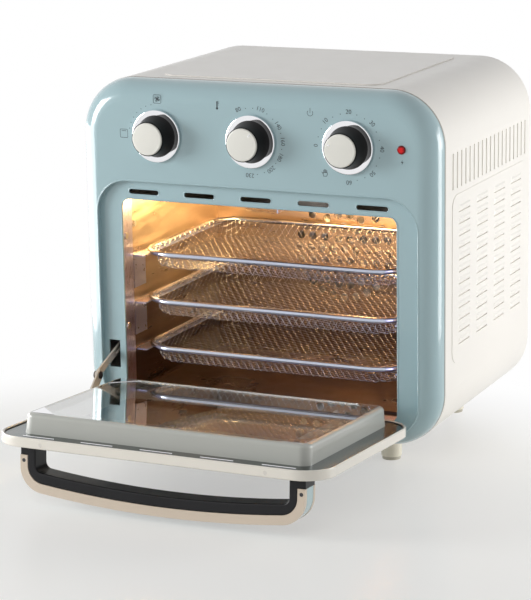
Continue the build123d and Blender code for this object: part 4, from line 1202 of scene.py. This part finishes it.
@dataclass
class DoorTrim:
    """What stands out on the door's inner face: its bright lip, a dark bead of painted shade for the gap at
    the liner's edge, slot lips and glass clips.

    Places are in the door's own "up", from the hinge to the top edge, and "in", towards the cavity when
    it is shut.
    """

    tilt_deg: float = 4.0
    half_width: float = 0.1509
    low: float = -0.0035
    high: float = 0.2019
    corner: float = 0.028
    wall: float = 0.0024
    face_in: float = 0.009
    lip_bead: float = 0.0009
    groove_walls: float = 1.2
    groove_sunk: float = 0.0001
    groove_bead: float = 0.0004
    edge_steps: int = 14
    liner_in: float = 0.0085
    slots: int = 5
    slot_bead: float = 0.0005
    slot_raised: float = 0.0002
    slot_pitch: float = 0.0546
    slot_length: float = 0.0295
    slot_drop: float = 0.0105
    glass_half_width: float = 0.1254
    glass_low: float = 0.0164
    glass_high: float = 0.1756
    glass_in: float = 0.0254
    between_hinges: float = 0.101
    clip_reach: float = 0.021
    clip_inset: float = 0.0004
    clip_gap: float = 0.00002
    clip_sheet: float = 0.0004

    def place(self, x: float, up: float, inwards: float) -> Point:
        """A place on the door in the model's frame.

        Args:
            x: place across.
            up: distance from the hinge towards the top edge.
            inwards: distance from the hinge towards the cavity side.

        Returns:
            The place.
        """
        tilt = math.radians(self.tilt_deg)
        hinge_y, hinge_z = self.hinge
        return (x, hinge_y - up * math.cos(tilt) + inwards * math.sin(tilt),
                hinge_z + up * math.sin(tilt) + inwards * math.cos(tilt))

    def build(self) -> None:
        """Builds the trim."""
        joints = frame["record"]["behaviour"]["joints"]
        hinge = next(joint["pos_m"] for joint in joints if joint["name"] == "door_hinge")
        self.hinge = (hinge[1], hinge[2])
        self.edging("door_lip", self.wall / 2, self.face_in, self.lip_bead, Finish.DOOR_CREAM)
        # painted shade: a dark bead that stands in for the shadowed gap between the liner's edge and the
        # door's shell
        self.edging("door_groove", self.groove_walls * self.wall, self.face_in - self.groove_sunk,
                    self.groove_bead, Finish.GROOVE_DARK)
        for number in range(self.slots):
            middle = (number - (self.slots - 1) / 2) * self.slot_pitch
            points = [self.place(middle + side * self.slot_length / 2, self.high - self.slot_drop,
                                 self.liner_in + self.slot_raised) for side in (-1, 1)]
            self.bead(f"liner_slot_edge_{number + 1}", points, self.slot_bead, Finish.CHROME, "liner_steel")
        for side_name, side in (("left", -1), ("right", 1)):
            for end_name, up, towards in (("low", self.glass_low, 1), ("high", self.glass_high, -1)):
                self.clip(f"glass_clip_{end_name}_{side_name}", side, up, towards)

    def edging(self, name: str, inset: float, inwards: float, radius: float, finish: Finish) -> None:
        """Runs a bead along the door's folded edge, left open where the hinges stand.

        Args:
            name: the name of its long run. The short run between the hinges adds "_low".
            inset: how far inside the door's outline it lies.
            inwards: its place along the door's "in".
            radius: its radius.
            finish: its finish.
        """
        outline = rounded_outline(self.half_width - inset, self.low + inset, self.high - inset,
                                  self.corner - inset, self.edge_steps)
        start = 3 * (self.edge_steps + 1)
        long_run = outline[start:] + outline[:start]
        short_run = [(side * self.between_hinges, long_run[0][1]) for side in (-1, 1)]
        for run_name, run in ((name, long_run), (f"{name}_low", short_run)):
            points = [self.place(x, up, inwards) for x, up in run]
            self.bead(run_name, points, radius, finish, "door_paint")

    def bead(self, name: str, points: Sequence[Point], radius: float, finish: Finish, slot: str) -> None:
        """Adds a bead with two ends along points on the door."""
        new_piece(name, bead(name, points, radius, closed=False), "door", finish)

    def clip(self, name: str, side: int, up: float, towards: int) -> None:
        """Adds a three-cornered clip that holds a corner of the glass.

        Args:
            name: its name.
            side: -1 for the left, 1 for the right.
            up: the glass's end, in the door's up.
            towards: the way along up to the middle of the glass.
        """
        x = side * (self.glass_half_width - self.clip_inset)
        up = up + towards * self.clip_inset
        corners = ((x, up), (x - side * self.clip_reach, up), (x, up + towards * self.clip_reach))
        rings = [[self.place(*corner, self.glass_in + level) for corner in corners]
                 for level in (self.clip_gap, self.clip_sheet)]
        new_piece(name, skin(name, rings, (0, 1)), "door", Finish.CHROME, smooth=False)


@dataclass
class Studio:
    """The floor, the lights and the camera.

    The camera's place and heading come from a fit of the model's edges to the photograph.
    """

    eye: Point = (0.8503, -1.8543, 0.6262)
    yaw_deg: float = 24.633
    pitch_deg: float = 13.364
    roll_deg: float = -0.918
    focal_px: float = 2369.4
    picture_px: float = 600.0
    sensor_mm: float = 36.0
    far_m: float = 50.0
    middle: Point = (0.0, 0.0, 0.17)
    floor_half: float = 6.0
    floor_colour: Colour = (0.96, 0.955, 0.935)
    floor_roughness: float = 0.3
    floor_shine: float = 0.3
    dull_spot: Point = (0.03, -0.27, 0.0)
    lit_from: float = 0.36
    lit_to: float = 0.58
    lit_share: float = 0.42
    surround: float = 0.28
    grill_light: Colour = (1.0, 0.70, 0.28)
    back_light: Colour = (1.0, 0.58, 0.22)

    def camera(self) -> None:
        """Sets up the camera."""
        data = bpy.data.cameras.new("view")
        data.sensor_fit = "AUTO"
        data.sensor_width = self.sensor_mm
        data.lens = self.focal_px / self.picture_px * self.sensor_mm
        data.clip_end = self.far_m
        eye = bpy.data.objects.new("view", data)
        turn = Matrix.Rotation(math.radians(self.yaw_deg), 4, "Z")
        tip = Matrix.Rotation(math.radians(90.0 - self.pitch_deg), 4, "X")
        roll = Matrix.Rotation(math.radians(self.roll_deg), 4, "Z")
        eye.matrix_world = Matrix.Translation(self.eye) @ turn @ tip @ roll
        bpy.context.scene.collection.objects.link(eye)
        bpy.context.scene.camera = eye

    def softbox(self, name: str, place: Point, target: Point, size: Spot, power: float,
                colour: Colour = WHITE, unseen_by: tuple[str, ...] = ()) -> None:
        """Adds a rectangular lamp.

        Args:
            name: its name.
            place: where it hangs.
            target: what it points at.
            size: width and height.
            power: watts.
            colour: its light.
            unseen_by: kinds of ray that miss it, besides the camera's: "diffuse" for a card that only
                glossy surfaces show, "glossy" for a fill that leaves no highlight.
        """
        data = bpy.data.lights.new(name, "AREA")
        data.shape = "RECTANGLE"
        data.size, data.size_y = size
        data.energy = power
        data.color = colour
        lamp = bpy.data.objects.new(name, data)
        for rays in ("camera", *unseen_by):
            setattr(lamp, f"visible_{rays}", False)
        aim = (Vector(target) - Vector(place)).to_track_quat("-Z", "Y")
        lamp.matrix_world = Matrix.Translation(place) @ aim.to_matrix().to_4x4()
        bpy.context.scene.collection.objects.link(lamp)

    def floor(self) -> None:
        """Lays the floor: pale and slightly glossy near the oven, plain white further out."""
        mesh = bpy.data.meshes.new("floor")
        half = self.floor_half
        corners = [(-half, -half, 0), (half, -half, 0), (half, half, 0), (-half, half, 0)]
        mesh.from_pydata(corners, [], [(0, 1, 2, 3)])
        floor = bpy.data.objects.new("floor", mesh)
        bpy.context.scene.collection.objects.link(floor)
        graph = Graph(bpy.data.materials.new("floor_white"))
        distance = graph.node("ShaderNodeVectorMath", {"operation": "DISTANCE"},
                              {0: graph.place(), 1: self.dull_spot}, "Value")
        lit = graph.between(distance, self.lit_from, self.lit_to, self.lit_share, 1.0)
        graph.overlay(graph.node("ShaderNodeEmission", {}, {"Color": WHITE}), lit * graph.seen_rays())
        floor.data.materials.append(graph.dress(Base_Color=tinted(self.floor_colour),
                                                Roughness=self.floor_roughness,
                                                Specular_IOR_Level=self.floor_shine))

    def world(self) -> None:
        """Sets a plain white surround, dimmer as a light than as a background."""
        graph = Graph(bpy.data.worlds.new("surround"))
        bpy.context.scene.world = graph.dress(Color=WHITE, Strength=self.surround)
        graph.overlay(graph.node("ShaderNodeBackground", {}, {"Color": WHITE}), graph.seen_rays())

    def build(self) -> None:
        """Builds the whole studio."""
        bpy.context.scene.view_settings.view_transform = "Standard"
        self.camera()
        self.floor()
        self.world()
        self.softbox("key", (-1.5, -0.95, 0.5), self.middle, (0.7, 0.7), 20.0)
        self.softbox("front", (0.25, -1.5, 1.1), self.middle, (0.8, 0.8), 4.5, unseen_by=("glossy",))
        self.softbox("side", (1.6, 0.9, 0.4), self.middle, (1.3, 0.8), 6.6)
        self.softbox("left_strip", (-0.55, -0.076, 0.13), (-0.1, -0.02, 0.13), (0.6, 0.25), 2.2,
                     unseen_by=("diffuse",))
        self.softbox("right_strip", (0.6, 0.2, 0.2), (0.15, 0.05, 0.2), (0.22, 0.4), 1.1)
        self.softbox("grill_glow", (-0.074, 0.085, 0.218), (-0.132, 0.08, 0.20), (0.08, 0.02), 0.45,
                     self.grill_light)
        self.softbox("back_glow", (0.03, 0.10, 0.218), (0.03, 0.18, 0.16), (0.16, 0.02), 0.55,
                     self.back_light)


def main() -> None:
    """Builds the scene."""
    logging.basicConfig(level=logging.INFO, format="%(name)s: %(message)s")
    LOG.info("dressed %d model nodes", dress_cad_nodes())
    for level in ("upper", "middle", "lower"):
        WireBasket(level).build()
        LOG.info("%s basket's net woven", level)
    for control, tick_deg in (("function", None), ("temperature", 40.0), ("timer", -66.0)):
        Knob(control, tick_deg).build()
        LOG.info("%s knob turned", control)
    for part, news in ((DialPrint(), "dials printed"), (PanelEdges(), "panel's edges rolled"),
                       (CasingTrim(), "casing's seam and vent sheets set"), (DoorTrim(), "door trimmed"),
                       (Studio(), "studio built")):
        part.build()
        LOG.info(news)


if __name__ == "__main__":
    main()
